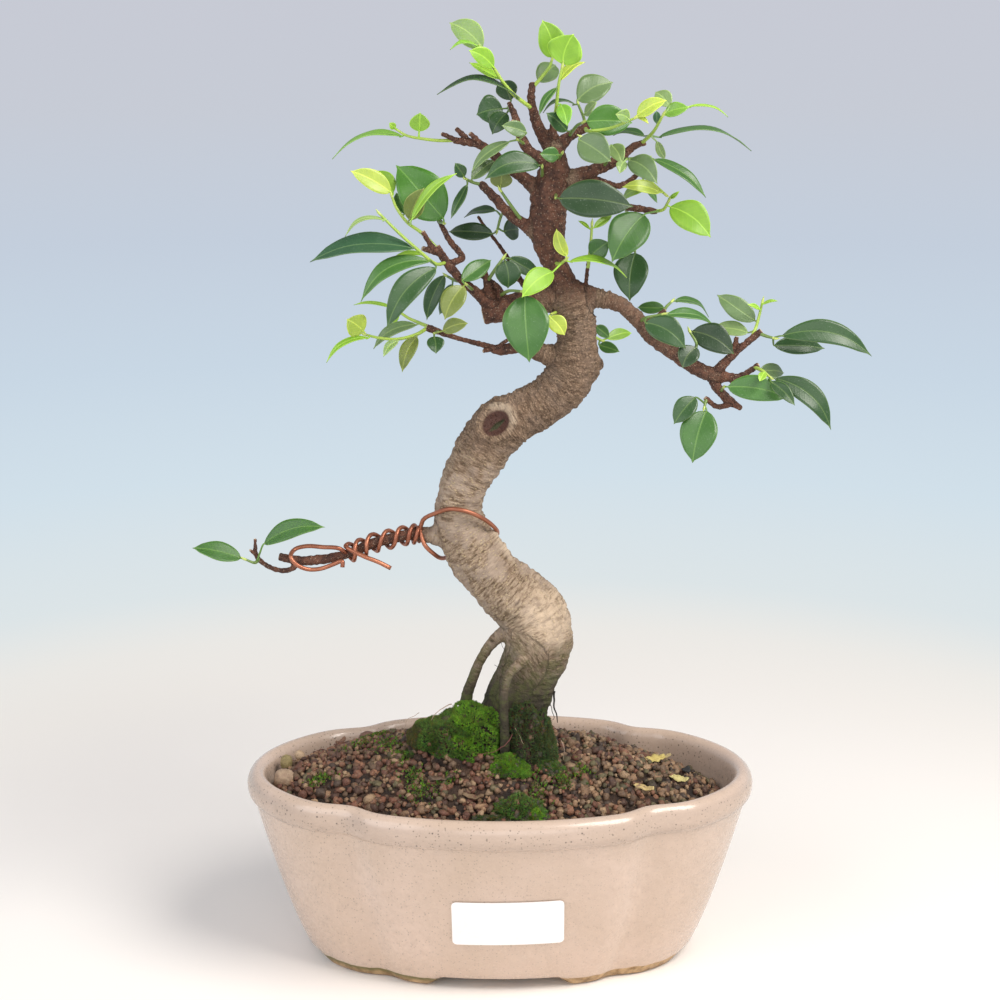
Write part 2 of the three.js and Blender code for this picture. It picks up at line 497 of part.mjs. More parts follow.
// ---- shoots: a green stem with its leaves, each grown as one piece ----
// stem: [across, up, near]; leaves: [base across, up, near, tip across, up, near, width, turn, arch]
const SHOOTS = {
  shoot_top_left: {
    stem: [[11, 331, 3], [5, 335.5, 8], [1, 340, 10], [-2, 344.5, 11], [-6.5, 351, 12]],
    leaves: [
      [-6.2, 352, 12, -18.5, 361, 8, 9, 10, 1], [-7.5, 352.2, 13, -18, 351.8, 16, 2.4, 60, 2],
      [-2.2, 345, 12, -11, 351, 18, 6.5, 20, 1], [0.2, 341, 10, -11, 347.5, 5, 4, 50, 0],
      [7, 334, 10, -22.5, 338, 14, 8.5, 72, 5.5],
    ],
  },
  shoot_dark_left: {
    stem: [[5, 329, 5], [3.5, 330, -2], [3, 331, -8]],
    leaves: [
      [4, 333.6, -9, 0.5, 340.6, -16, 8, 20, 1], [1, 330.5, -6, -8.5, 328.5, -4, 11, 15, 1],
      [2.5, 329, -4, -3, 321.6, -2, 7.5, 25, 1],
    ],
  },
  shoot_top_middle: {
    stem: [[11.8, 338, 2], [14.5, 341, 3], [18, 345.5, 4], [18.6, 347.4, 4]],
    leaves: [[18.7, 348.4, 4, 15.2, 361.5, 6, 9.6, 8, 1], [14, 340, 1, 20.5, 346.8, -9, 8, 20, 1]],
  },
  shoot_top_right: {
    stem: [[19.4, 325, 0], [20.4, 331, 5], [21.2, 339, 8], [22.4, 345, 9]],
    leaves: [
      [22.6, 346, 9, 26.4, 356.6, 12, 13, 5, 1], [21.6, 340.5, 8, 30.6, 347.6, 3, 4.2, 55, 1],
      [20.6, 338, 8, 14, 328.6, 15, 3.2, 60, 1], [22, 332, 6, 24.4, 324.6, 12, 5.6, 10, 1],
    ],
  },
  shoot_pale_right: {
    stem: [[30, 323.2, 0], [30.6, 326.5, -7], [28.4, 332, -12]],
    leaves: [
      [28, 333.5, -13, 41, 340, -17, 11, 25, 1], [30.6, 328.5, -8, 34.5, 333, -3, 5, 40, 0],
      [27.4, 332, -12, 15.4, 329.4, -11, 4, 70, 3],
    ],
  },
  shoot_dark_right: {
    stem: [[25, 320.5, 0], [28, 324.5, 8], [30, 325.6, 11]],
    leaves: [[31.4, 326, 12, 48.4, 325.6, 10, 11, 10, 1.5], [24.4, 322.6, 5, 17, 329, 9, 6, 15, 0]],
  },
  shoot_yellow_right: {
    stem: [[31, 323.4, 0], [33, 322.6, 17], [40, 323.6, 20], [48.6, 327, 22]],
    leaves: [
      [49.6, 328, 22, 60, 333.8, 26, 6, 30, 1], [47, 326.6, 22, 42.4, 328.4, 27, 4.6, 5, 0.5],
      [50, 327.4, 22, 54, 325.4, 24, 1.6, 40, 0.5],
    ],
  },
  shoot_right_upper: {
    stem: [[51.5, 318.2, -2], [55.5, 322, 4], [57.4, 325, 7], [59, 328, 9]],
    leaves: [
      [59.6, 328.6, 9, 68.4, 331, 12, 5.5, 30, 1], [61.6, 331.4, 9, 56, 336.6, 4, 6, 20, 1],
      [68, 331.2, 8, 83, 328, 5, 1.8, 60, 2.5], [57, 325.4, 6, 56.8, 330, 0, 2.8, 20, 0],
      [57.6, 320.4, -8, 92, 317.4, -16, 8.5, 76, 5], [57, 318.8, -9, 60.6, 312.4, -14, 3.4, 25, 0],
      [52.6, 320.8, -8, 41, 322, -14, 5, 62, 1.6],
    ],
  },
  shoot_right_hang: {
    stem: [[43, 312.6, -2], [46, 312.6, 5], [53, 313.2, 8]],
    leaves: [
      [47, 312.2, 8, 57.4, 304, 17, 8.5, 15, 2.5], [56, 312.6, 9, 76, 299.6, 14, 5.4, 50, 2.5],
      [45.4, 311.8, 7, 43.8, 307.6, 11, 4, 10, 0.5],
    ],
  },
  shoot_right_inner: {
    stem: [[38, 310, -2], [39.6, 314, 8], [37, 318, 13], [30, 320.4, 16]],
    leaves: [[28.6, 319.6, 17, 40.4, 311.8, 23, 11, 5, 1], [40.6, 317.6, 9, 44.4, 311.6, 16, 6, 5, 0.5]],
  },
  shoot_big_dark: {
    stem: [[20.5, 300, 4], [20.4, 298.6, 17]],
    leaves: [[21.5, 298.4, 20, 49, 295.6, 23, 13.5, 12, 1.5]],
  },
  shoot_right_fork: {
    stem: [[51, 308, -6], [54, 305.4, 1], [60.4, 300, 5]],
    leaves: [
      [58.8, 300.6, 6, 45, 303, 10, 5, 30, 1.5], [53, 301.8, 2, 43.4, 297.4, -12, 4.4, 35, 1],
      [52.6, 303.6, -3, 58.4, 296.8, -9, 3.2, 35, 0.5],
    ],
  },
  shoot_lime_right: {
    stem: [[57, 293.7, -2], [60, 294.4, 0], [61.6, 297, 2]],
    leaves: [
      [62.4, 295.4, 1, 77.6, 284.6, 8, 11.5, 18, 2], [62, 298.4, 2, 65.4, 301, 6, 1.6, 20, 0],
      [53, 292.6, 7, 41.6, 275.8, 18, 14.5, 10, 1.5],
    ],
  },
  shoot_gloss_right: {
    stem: [[46, 295.3, -4], [47.6, 290, -13], [49.6, 280, -14]],
    leaves: [[50, 278.6, -13, 48.2, 261.2, -4, 13, 18, 1.5]],
  },
  shoot_twig_right: {
    stem: [[32.5, 273, 3], [33, 277, 3], [33.6, 284, -2], [33.8, 288.6, -3]],
    leaves: [
      [33.4, 277.4, 5, 40, 282.6, 7, 8, 8, 0.5], [34.6, 287.8, -3, 41.4, 292.6, -8, 3, 30, 0.5],
      [33, 287.4, -3, 28.6, 290.6, -7, 1.4, 30, 0],
    ],
  },
  shoot_lime_front: {
    stem: [[20, 275, 2], [22.4, 274.6, 12], [24, 275.8, 14]],
    leaves: [
      [24.6, 277.4, 14, 21, 287.6, 11, 5, 35, -1.8], [25.6, 275.4, 14, 47.4, 270.2, 8, 6, 66, 3.5],
      [19.6, 271.6, 16, 8.4, 262.4, 26, 8.5, 10, 1.5],
    ],
  },
  shoot_big_front: {
    stem: [[0.4, 263, 3], [3.6, 264.6, 14], [8, 264.4, 19]],
    leaves: [[9.2, 263, 20, 11, 238, 27, 16.8, 3, 1.5]],
  },
  shoot_inner_left: {
    stem: [[-4.8, 268, 3], [-1, 273.6, 8], [1, 276.4, 9]],
    leaves: [[1.8, 275.8, 8, 3, 265.4, 9, 9.5, 8, 0.5], [3.4, 276.6, 8, 15.6, 269.6, 4, 6, 20, 0.5]],
  },
  shoot_trunk_yellow: {
    stem: [[22, 257, 3], [19.4, 256, 13]],
    leaves: [[18.4, 255, 15, 24.2, 248, 16, 6.5, 5, 0.5]],
  },
  shoot_behind_trunk: {
    stem: [[29, 250, -2], [34, 248, -16], [38, 246, -18]],
    leaves: [
      [35.6, 251.4, -17, 41, 247, -19, 4.4, 20, 0], [40, 246.8, -20, 49.6, 249.2, -27, 4.6, 25, 0.5],
      [37, 244.4, -17, 44.6, 242, -12, 4.6, 20, 0.5],
    ],
  },
  shoot_branch_upper: {
    stem: [[60.5, 256.5, 1], [62, 258.8, -2], [63.6, 260.4, -4]],
    leaves: [
      [64.8, 260.8, -5, 78.4, 255.8, -10, 5, 60, 2.5], [61, 258.2, -3, 50.8, 258.6, -10, 4.8, 20, 0.5],
    ],
  },
  shoot_branch_middle: {
    stem: [[52, 253, 5], [54.6, 254.6, 12], [60.4, 255.8, 14]],
    leaves: [[54, 252.8, 14, 69.4, 243.2, 20, 10, 10, 2], [62, 255.6, 13, 79.8, 253.2, 8, 5.6, 50, 1.6]],
  },
  shoot_branch_dark: {
    stem: [[69, 238.6, 8], [73.4, 244.4, 14], [71, 249, 12]],
    leaves: [
      [71.6, 249.6, 10, 87.6, 241, 15, 10.5, 10, 1.2], [73.4, 243.6, 16, 68.4, 235.8, 20, 8, 8, 0.8],
    ],
  },
  shoot_branch_tip_upper: {
    stem: [[93.5, 246.4, 9], [95.4, 251, 5], [96.6, 256, 4], [97.4, 260, 4]],
    leaves: [
      [95, 253.4, 3, 80.4, 263.4, -2, 8, 15, 1], [92.6, 249, 3, 78.6, 250.6, -1, 6, 30, 1.5],
      [97.4, 259.6, 5, 103, 261, 9, 1.4, 40, 0.5], [96.8, 257.6, 5, 92.4, 259.6, 9, 1.8, 30, 0.5],
    ],
  },
  shoot_branch_far: {
    stem: [[96.5, 248.8, 9], [99.6, 247.6, 11], [102, 247, 12]],
    leaves: [[105, 247.8, 13, 139.6, 240.6, 16, 9, 22, 4.5], [102.4, 244.2, 9, 122, 243.4, 4, 7, 22, 0]],
  },
  shoot_branch_lower: {
    stem: [[95.5, 235.9, 11], [98.4, 234.6, 16], [101, 232.4, 18]],
    leaves: [
      [103, 231.8, 18, 125.4, 212.4, 25, 8.5, 20, 4.5], [101.6, 230.6, 20, 111, 221.8, 27, 5, 20, 0.5],
      [97.4, 234.6, 10, 107.4, 234, 2, 5.6, 20, 0.5],
      [99, 234, 19, 97.4, 230.8, 23, 3, 10, 0.3],
    ],
  },
  shoot_branch_low_leaf: {
    stem: [[83, 227, 9], [84, 228.4, 15]],
    leaves: [[85.4, 228.6, 17, 109, 224.4, 21, 9.5, 12, 1]],
  },
  shoot_branch_hang: {
    stem: [[77.6, 223.8, 12], [77, 221, 14]],
    leaves: [[77.8, 219.6, 15, 73, 199.4, 22, 13.6, 6, 1.2], [73.6, 224.6, 15, 65.6, 214.4, 19, 8, 12, 1]],
  },
  shoot_left_spray: {
    stem: [[-20, 275, 3], [-24, 274.6, 10], [-30, 279.4, 13], [-38, 286.6, 15], [-44, 292.6, 16]],
    leaves: [
      [-32, 280.2, 14, -70.5, 276.6, 17, 10.5, 48, 3.5], [-26, 275.6, 13, -52, 261, 20, 7, 35, 5.5],
      [-42, 290.6, 16, -57.4, 285.2, 19, 2.2, 50, 3], [-28, 278, 11, -41.2, 276, 8, 2.6, 50, 1.2],
      [-23.6, 273.2, 18, -42.2, 250.8, 29, 9.5, 14, 3.5],
    ],
  },
  shoot_left_crown: {
    stem: [[-23, 280, 3], [-29, 286, 2], [-34, 289.6, 1], [-38, 295, 0], [-39.6, 299, 0]],
    leaves: [
      [-40, 300.6, 0, -54.6, 308.4, 3, 7.4, 15, 1.2], [-39.2, 300.4, -2, -45.4, 309, -7, 6, 20, 0.5],
      [-33.4, 290.6, 4, -28, 302, 8, 7.6, 10, 0.5], [-32.6, 290.6, 8, -16.8, 308, 14, 4.4, 40, 1.5],
      [-35, 293, -2, -38.2, 301, -8, 4.4, 15, 0],
    ],
  },
  shoot_left_large: {
    stem: [[-22.4, 290, -6], [-20.8, 289.4, -2]],
    leaves: [[-20.8, 291, -2, -38, 310.6, -3, 17, 6, 1.5]],
  },
  shoot_left_long_twig: {
    stem: [[-16, 319.3, 0], [-22, 319.2, 0], [-28, 319.8, 0], [-34, 321, 0], [-37.4, 323, 0]],
    leaves: [
      [-29.4, 322.4, 1, -29, 329, 3, 7.4, 5, 0.3], [-35.4, 320.8, -1, -61.6, 313.4, -8, 6.5, 68, 4],
      [-38, 323.6, 1, -40, 325.4, 3, 2.6, 10, 0],
    ],
  },
  shoot_left_middle: {
    stem: [[-6.5, 303.4, 1], [-10, 304.2, 3], [-12.4, 305.4, 5]],
    leaves: [
      [-13, 306.2, 6, -16.2, 311, 9, 4.6, 10, 0.3], [-10.4, 305.4, 1, -1, 312.6, -6, 5, 30, 0.8],
      [-12, 303.4, 6, -18.4, 291.4, 10, 4, 50, 0.5],
    ],
  },
  shoot_left_inner_dark: {
    stem: [[2, 294, 2], [0.4, 292, -5], [-1, 287, -7]],
    leaves: [
      [-1.6, 294, -6, -13.6, 292.4, -12, 6, 60, 1.2], [-2.6, 285.6, -7, -19.4, 286.6, -14, 7, 25, 1],
      [1.4, 286.4, -6, 7.4, 287.2, -14, 8, 10, 0.3],
    ],
  },
  shoot_left_olive: {
    stem: [[9, 289, 2], [3.6, 296.4, 7], [0.4, 301, 9]],
    leaves: [[0.2, 302.2, 9, 0.6, 309, 11, 8, 5, 0.3]],
  },
  shoot_middle_long: {
    stem: [[15.4, 306, 4], [15.4, 309.6, 12]],
    leaves: [[14.6, 310.4, 13, -5.4, 305.8, 19, 8.5, 25, 2.5]],
  },
  shoot_middle_pale: {
    stem: [[9.4, 317.6, 4], [6.6, 319.4, 11]],
    leaves: [
      [3.4, 318.8, 12, -10.8, 308.4, 16, 4.6, 35, 1.5], [9.6, 322, 12, 0.8, 324.6, 16, 5.4, 15, 0.8],
    ],
  },
  shoot_middle_small: {
    stem: [[21, 312, 2], [22.6, 314.6, 11]],
    leaves: [[21.6, 314, 12, 14.8, 314.4, 16, 5.4, 5, 0.3]],
  },
  shoot_low_spray: {
    stem: [[-27, 250.8, 3], [-31, 248.4, 5], [-38, 246.6, 6], [-45, 247, 7], [-50, 248.2, 8]],
    leaves: [
      [-50.8, 249.4, 8, -57, 254, 10, 9, 5, 0.3], [-48.8, 247.2, 9, -65.4, 238.4, 13, 3, 50, 3.4],
      [-38, 246, 7, -43.6, 240.2, 12, 3.4, 30, 1], [-31, 247.4, 6, -36.8, 234.4, 13, 6, 30, 2.6],
    ],
  },
  shoot_low_dark: {
    stem: [[-23, 249.5, 3], [-24.4, 248.8, 9]],
    leaves: [
      [-24.6, 247.6, 11, -24, 241.4, 16, 6.4, 6, 0.3], [-21.4, 249.6, 10, -12, 252.6, 12, 5.6, 12, 0.4],
    ],
  },
  shoot_low_upper: {
    stem: [[-26.6, 251.2, 1], [-30.4, 252.8, -5], [-34, 254.4, -7], [-38.6, 257.6, -9]],
    leaves: [
      [-39, 258, -9, -54.6, 260, -14, 1.8, 50, 1.5], [-38, 256.8, -8, -39.8, 252, -5, 2, 20, 0],
      [-31, 252, -4, -47.8, 243.4, -4, 5.4, 40, 2.8],
    ],
  },
  shoot_left_under: {
    stem: [[-13.6, 268, 3], [-17, 268.6, -4], [-19.6, 270, -6]],
    leaves: [
      [-20.6, 270.4, -7, -27.6, 253.6, -7, 6.5, 20, 1],
      [-17.6, 267, -6, -22.8, 255.4, -13, 5.4, 15, 0.5],
    ],
  },
  shoot_left_under_near: {
    stem: [[-10, 264.8, 3], [-12.4, 266.8, 11]],
    leaves: [
      [-13.4, 266.4, 12, -20.6, 253.8, 17, 8.6, 10, 1.5], [-14, 268.4, 10, -3, 276.4, 2, 7, 25, 0.8],
    ],
  },
  shoot_wired_tip: {
    stem: [[-92.6, 161.6, 0], [-94.4, 160.2, 4], [-97.6, 161.4, 5]],
    leaves: [[-99.4, 162, 5, -118, 166.4, 7, 8, 35, 1.5], [-90.6, 167.6, 4, -67.2, 174.6, 8, 8, 30, 2.6]],
  },
};

// Two directions square to a leaf's run, so that a stalk is as thick whichever way it leaves the stem.
function ringAxes(direction, side, along) {
  const steady = Math.abs(side.dot(direction)) > 0.9 ? along : side;
  const across = steady.clone().projectOnPlane(direction).normalize();
  return [across, new THREE.Vector3().crossVectors(across, direction)];
}

// A leaf from its stalk's foot to its tip. Its blade folds along the midrib and arches along its length.
function leafSolid(foot, leaf) {
  const base = place(leaf.slice(0, 3));
  const tip = place(leaf.slice(3, 6));
  const [width, turn, arch] = leaf.slice(6);
  const run = tip.clone().sub(base);
  const along = run.clone().normalize();
  const towardsEye = EYE.clone().sub(base).projectOnPlane(along).normalize();
  const upward = new THREE.Vector3(0, 0, 1).projectOnPlane(along).normalize();
  const face = towardsEye.lerp(upward, turn / 90).normalize();
  const side = new THREE.Vector3().crossVectors(along, face).normalize();
  const stalk = base.clone().sub(foot).normalize();
  const elbow = stalk.clone().add(along).normalize();
  const blade = new THREE.CylinderGeometry(1, 1, 1, 4, BLADE_STEPS + 1);
  bend(blade, (point) => {
    const ring = Math.round((point.y + 0.5) * (BLADE_STEPS + 1));
    const u = Math.max(ring - 1, 0) / BLADE_STEPS;
    const [across, out] = ringAxes([stalk, elbow][ring] ?? along, side, along);
    const halfWave = Math.max(Math.sin(Math.PI * Math.pow(u, BLADE_WIDEST)), 0);
    const swell = Math.pow(halfWave, BLADE_FULLNESS);
    const halfWidth = Math.max((width / 2) * swell, STALK_RADIUS);
    const thick = ring < 2 ? STALK_RADIUS : LEAF_THICKNESS / 2;
    const fold = ring < 2 ? 0 : Math.abs(point.x) * halfWidth * LEAF_FOLD;
    const lift = point.z * thick + fold;
    const centre = ring === 0 ? foot.clone() : base.clone().addScaledVector(run, u);
    centre.addScaledVector(upward, arch * 3.6 * u * (1 - u));
    point.copy(centre.addScaledVector(across, point.x * halfWidth).addScaledVector(out, lift));
  });
  return solidOf(blade);
}

function shootSolid({ stem, leaves }) {
  const curve = new THREE.CatmullRomCurve3(stem.map(place), false, "centripetal");
  const marks = curve.getPoints(STEM_MARKS).slice(STEM_MARKS * BARE_STEM);
  const stations = stem.map((point, i) => [...point, THREE.MathUtils.lerp(0.75, 0.5, i / stem.length)]);
  const solids = [limb(stations, 5, 0, 1)];
  for (const leaf of leaves) {
    const base = place(leaf.slice(0, 3));
    const foot = marks.reduce((best, mark) =>
      mark.distanceTo(base) < best.distanceTo(base) ? mark : best,
    );
    solids.push(leafSolid(foot, leaf));
  }
  return joined(solids);
}

// ---- assembly ----
const COLOURS = {
  glaze: { color: 0xcdb9a4, roughness: 0.35, metalness: 0 },
  soil: { color: 0x6b4a3a, roughness: 0.95, metalness: 0 },
  moss: { color: 0x4f7a1e, roughness: 0.95, metalness: 0 },
  stone: { color: 0x9a7b5c, roughness: 0.85, metalness: 0 },
  bark: { color: 0x8a745c, roughness: 0.85, metalness: 0 },
  wire: { color: 0x96503a, roughness: 0.45, metalness: 0.6 },
  label: { color: 0xf4f2ee, roughness: 0.6, metalness: 0 },
  leafOld: { color: 0x2f5a24, roughness: 0.35, metalness: 0 },
  leafNew: { color: 0x9cc22a, roughness: 0.4, metalness: 0 },
  plastic: { color: 0x2b2b2b, roughness: 0.6, metalness: 0 },
  clip: { color: 0x9a9a9a, roughness: 0.4, metalness: 0.9 },
};

const NEW_GROWTH = /yellow|lime|top_|wired|low_spray/;

const tree = new THREE.Group();

function show(name, solid, colour) {
  const mesh = new THREE.Mesh(geometryOf(solid), new THREE.MeshStandardMaterial(COLOURS[colour]));
  mesh.name = name;
  tree.add(mesh);
}

const grownWood = woodSolid(GAP);
const wood = largestBody(woodSolid(0).subtract(wireSolid(GAP)));
const pot = potSolid();

show("pot", pot, "glaze");
show("pot_label", labelSolid(), "label");
for (const [name, side] of [["left", -1], ["right", 1]]) {
  show(`drainage_screen_${name}`, screenSolid(side * DRAIN_OFFSET), "plastic");
  show(`screen_clip_${name}`, clipSolid(side * DRAIN_OFFSET), "clip");
}

let soil = soilSolid(0).subtract(grownWood);
for (const side of [-1, 1]) {
  const room = SCREEN_SIDE + 2 * GAP;
  const height = SCREEN_THICKNESS + 2 * CLIP_WIRE + 4 * GAP;
  soil = soil.subtract(box(room, room, 2 * height, side * DRAIN_OFFSET, 0, SCREEN_BOTTOM));
}
for (const [name, { share, size }] of Object.entries(PEBBLES)) {
  const at = [share[0] * soilWidth, share[1] * soilDepth, share[2] + SOIL_EDGE];
  soil = soil.subtract(pebble(at, size.map((side) => side + 2 * GAP)));
  show(name, pebble(at, size), "stone");
}
show("soil", largestBody(soil), "soil");

const overSoil = soilSolid(GAP);
for (const [name, cushions] of Object.entries(MOSS)) {
  const grown = cushions.map(({ at: [across, back, above], size }) =>
    pebble([across, back, above + SOIL_EDGE], size, 14),
  );
  const patch = joined(grown).subtract(overSoil).subtract(grownWood);
  show(name, largestBody(patch), "moss");
}

show("trunk", wood, "bark");
show("training_wire", wireSolid(0), "wire");

for (const [name, shoot] of Object.entries(SHOOTS)) {
  const solid = largestBody(shootSolid(shoot).subtract(grownWood));
  show(name, solid, NEW_GROWTH.test(name) ? "leafNew" : "leafOld");
}

// The origin lies under the middle of the whole object.
const bounds = new THREE.Box3().setFromObject(tree);
const middle = bounds.getCenter(new THREE.Vector3());
tree.position.set(-middle.x, -middle.y, 0);
tree.updateMatrixWorld(true);

export default tree;
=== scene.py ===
import math
import random

import bmesh
import bpy
from mathutils import Matrix, Vector, kdtree, noise


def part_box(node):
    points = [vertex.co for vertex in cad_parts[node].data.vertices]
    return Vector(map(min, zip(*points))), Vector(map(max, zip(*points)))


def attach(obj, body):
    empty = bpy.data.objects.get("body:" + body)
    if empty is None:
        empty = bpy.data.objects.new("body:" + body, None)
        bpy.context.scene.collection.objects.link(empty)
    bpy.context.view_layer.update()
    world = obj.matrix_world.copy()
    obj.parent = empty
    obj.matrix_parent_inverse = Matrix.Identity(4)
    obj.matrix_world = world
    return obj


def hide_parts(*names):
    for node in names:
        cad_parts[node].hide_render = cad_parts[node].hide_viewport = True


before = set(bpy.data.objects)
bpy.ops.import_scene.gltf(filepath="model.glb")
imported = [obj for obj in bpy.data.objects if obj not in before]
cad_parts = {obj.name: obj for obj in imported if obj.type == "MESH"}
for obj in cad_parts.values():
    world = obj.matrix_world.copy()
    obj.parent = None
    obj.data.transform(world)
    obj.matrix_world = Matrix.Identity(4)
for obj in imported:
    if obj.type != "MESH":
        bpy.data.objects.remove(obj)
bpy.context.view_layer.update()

# ---- the studio ----
# The pot stands on a pale floor that sweeps up all round into a tall paper backdrop. Near the pot the floor
# is lit;
# further out the paper glows with painted light, cream at the foot and lavender grey at the top. A soft key
# light hangs at the upper right, with weak fills at the left and front.
# Everything is drawn in millimetres about the middle of the pot's foot, and set down in metres at HOME.
MM = 0.001
POT_LOW, POT_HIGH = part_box("pot")
HOME = Vector(((POT_LOW[0] + POT_HIGH[0]) / 2, (POT_LOW[1] + POT_HIGH[1]) / 2, 0))
TO_FRAME = Matrix.Translation(HOME) @ Matrix.Scale(MM, 4)
EYE = Vector((0, -650, 335))

camera = bpy.data.objects.new("camera", bpy.data.cameras.new("camera"))
camera.location = TO_FRAME @ EYE
camera.rotation_euler = (math.radians(77), 0, 0)
camera.data.sensor_width = 36
camera.data.lens = 63
camera.data.clip_start = 0.02
bpy.context.collection.objects.link(camera)
bpy.context.scene.camera = camera
bpy.context.scene.view_settings.view_transform = "Standard"


class Socket:
    """A value that varies over a surface; sums with it add their Math nodes."""

    def __init__(self, finish, socket):
        self.finish = finish
        self.socket = socket

    def math(self, operation, first, second):
        settings = {"operation": operation}
        return self.finish.node("ShaderNodeMath", settings, {0: first, 1: second})

    def __add__(self, other):
        return self.math("ADD", self, other)

    __radd__ = __add__

    def __sub__(self, other):
        return self.math("SUBTRACT", self, other)

    def __rsub__(self, other):
        return self.math("SUBTRACT", other, self)

    def __mul__(self, other):
        return self.math("MULTIPLY", self, other)

    __rmul__ = __mul__

    def __truediv__(self, other):
        return self.math("DIVIDE", self, other)

    def rise(self, start, end):
        """0 below start, 1 past end, with a soft step between."""
        settings = {"interpolation_type": "SMOOTHSTEP"}
        return self.finish.node("ShaderNodeMapRange", settings, {0: self, 1: start, 2: end})


class Finish:
    """A material as it is mixed: its nodes, and the shader that they end in."""

    def __init__(self, name, **constants):
        self.material = bpy.data.materials.new(name)
        self.material.use_nodes = True
        self.tree = self.material.node_tree
        self.shader = self.tree.nodes["Principled BSDF"]
        for words, value in constants.items():
            self.shader.inputs[words.replace("_", " ").title().replace("Ior", "IOR")].default_value = value

    def node(self, kind, settings, inputs, output=0):
        made = self.tree.nodes.new(kind)
        for name, value in settings.items():
            if name == "stops":
                ramp = made.color_ramp
                for at, colour in value[1:-1]:
                    ramp.elements.new(at)
                for element, (at, colour) in zip(ramp.elements, value):
                    element.position = at
                    element.color = (*colour, 1)
            else:
                setattr(made, name, value)
        for name, value in inputs.items():
            if isinstance(value, Socket):
                self.tree.links.new(value.socket, made.inputs[name])
            elif isinstance(value, tuple) and made.inputs[name].type == "RGBA":
                made.inputs[name].default_value = (*value, 1)
            else:
                made.inputs[name].default_value = value
        return Socket(self, made.outputs[output])

    def place(self, turn=(0, 0, 0), stretch=(1, 1, 1)):
        """Millimetres about the middle of the pot's foot, turned and stretched for a pattern that runs."""
        where = self.node("ShaderNodeTexCoord", {}, {}, "Object")
        scale = tuple(1 / (MM * side) for side in stretch)
        offset = tuple(-home * size for home, size in zip(HOME, scale))
        inputs = {"Vector": where, "Location": offset, "Rotation": turn, "Scale": scale}
        return self.node("ShaderNodeMapping", {}, inputs)

    def height(self, where, axis="Z"):
        return self.node("ShaderNodeSeparateXYZ", {}, {"Vector": where}, axis)

    def noise(self, where, size, detail=3, rough=0.5, twist=0):
        inputs = {"Vector": where, "Scale": 1 / size, "Detail": detail}
        inputs.update({"Roughness": rough, "Distortion": twist})
        return self.node("ShaderNodeTexNoise", {}, inputs)

    def cells(self, where, size, output="Distance"):
        inputs = {"Vector": where, "Scale": 1 / size}
        return self.node("ShaderNodeTexVoronoi", {}, inputs, output)

    def from_point(self, where, point):
        """How far a place is from one point, in millimetres."""
        settings = {"operation": "DISTANCE"}
        return self.node("ShaderNodeVectorMath", settings, {0: where, 1: point}, "Value")

    def mix(self, share, first, second, blend="MIX"):
        settings = {"data_type": "RGBA", "blend_type": blend}
        return self.node("ShaderNodeMix", settings, {0: share, 6: first, 7: second}, 2)

    def ramp(self, value, stops):
        return self.node("ShaderNodeValToRGB", {"stops": stops}, {0: value})

    def end(self, colour, roughness=None, bump=None, depth=1.0):
        """Joins what varies to the shader. depth is how far, in millimetres, the bump's 0 to 1 stands up."""
        self.tree.links.new(colour.socket, self.shader.inputs["Base Color"])
        if roughness is not None:
            self.tree.links.new(roughness.socket, self.shader.inputs["Roughness"])
        if bump is not None:
            inputs = {"Height": bump, "Distance": depth * MM, "Strength": 1.0}
            normal = self.node("ShaderNodeBump", {}, inputs)
            self.tree.links.new(normal.socket, self.shader.inputs["Normal"])


def set_down(name, mesh, material, smooth=True):
    """A finished mesh in millimetres becomes an object in the frame, in metres."""
    mesh.transform(TO_FRAME)
    if smooth:
        mesh.shade_smooth()
    else:
        mesh.shade_flat()
    mesh.materials.append(material)
    piece = bpy.data.objects.new(name, mesh)
    bpy.context.collection.objects.link(piece)
    return piece


def mesh_of(bm, name):
    mesh = bpy.data.meshes.new(name)
    bm.to_mesh(mesh)
    bm.free()
    return mesh


FLOOR_RADIUS = 350
SWEEP_RADIUS = 900
PAPER_HEIGHT = 460
# The painted gradient of light that the far paper glows with, from the floor up to the top.
PAPER_GLOW_COLOURS = [
    (0.0, (0.86, 0.83, 0.78)), (0.03, (0.72, 0.78, 0.80)), (0.12, (0.64, 0.745, 0.82)),
    (0.26, (0.58, 0.68, 0.78)), (0.46, (0.55, 0.62, 0.72)), (0.7, (0.57, 0.60, 0.67)),
    (1.0, (0.575, 0.59, 0.66)),
]

bm = bmesh.new()
bmesh.ops.create_circle(bm, cap_ends=True, radius=20, segments=96)
paper_steps = [(60 + 290 * i / 6, 0) for i in range(1, 7)]
for i in range(1, 19):
    lean = math.radians(5 * i)
    paper_steps.append((FLOOR_RADIUS + SWEEP_RADIUS * math.sin(lean), SWEEP_RADIUS * (1 - math.cos(lean))))
for radius, height in paper_steps:
    rim = [edge for edge in bm.edges if edge.is_boundary]
    grown = bmesh.ops.extrude_edge_only(bm, edges=rim)["geom"]
    for corner in (item for item in grown if isinstance(item, bmesh.types.BMVert)):
        outward = Vector((corner.co.x, corner.co.y, 0)).normalized()
        corner.co = outward * radius + Vector((0, 0, height))
bmesh.ops.recalc_face_normals(bm, faces=bm.faces)
for face in bm.faces:
    if face.normal.z < -0.01:
        face.normal_flip()

paper = Finish("backdrop_paper", roughness=0.9, specular_ior_level=0.0)
paper_place = paper.place()
paper_height = paper.height(paper_place)
far = paper.from_point(paper_place, (0, 0, 0)).rise(230, 520)
paper_glow_tone = paper.ramp(paper_height / PAPER_HEIGHT, PAPER_GLOW_COLOURS)
paper.end(paper.mix(far, (0.93, 0.885, 0.84), (0.0, 0.0, 0.0)))
# Away from the pot the paper glows: its gradient is painted light, emitted rather than lit by the lamps.
glow = paper.mix(far, (0.0, 0.0, 0.0), paper_glow_tone)
paper.shader.inputs["Emission Strength"].default_value = 1.0
paper.tree.links.new(glow.socket, paper.shader.inputs["Emission Color"])
backdrop = set_down("backdrop", mesh_of(bm, "backdrop"), paper.material)


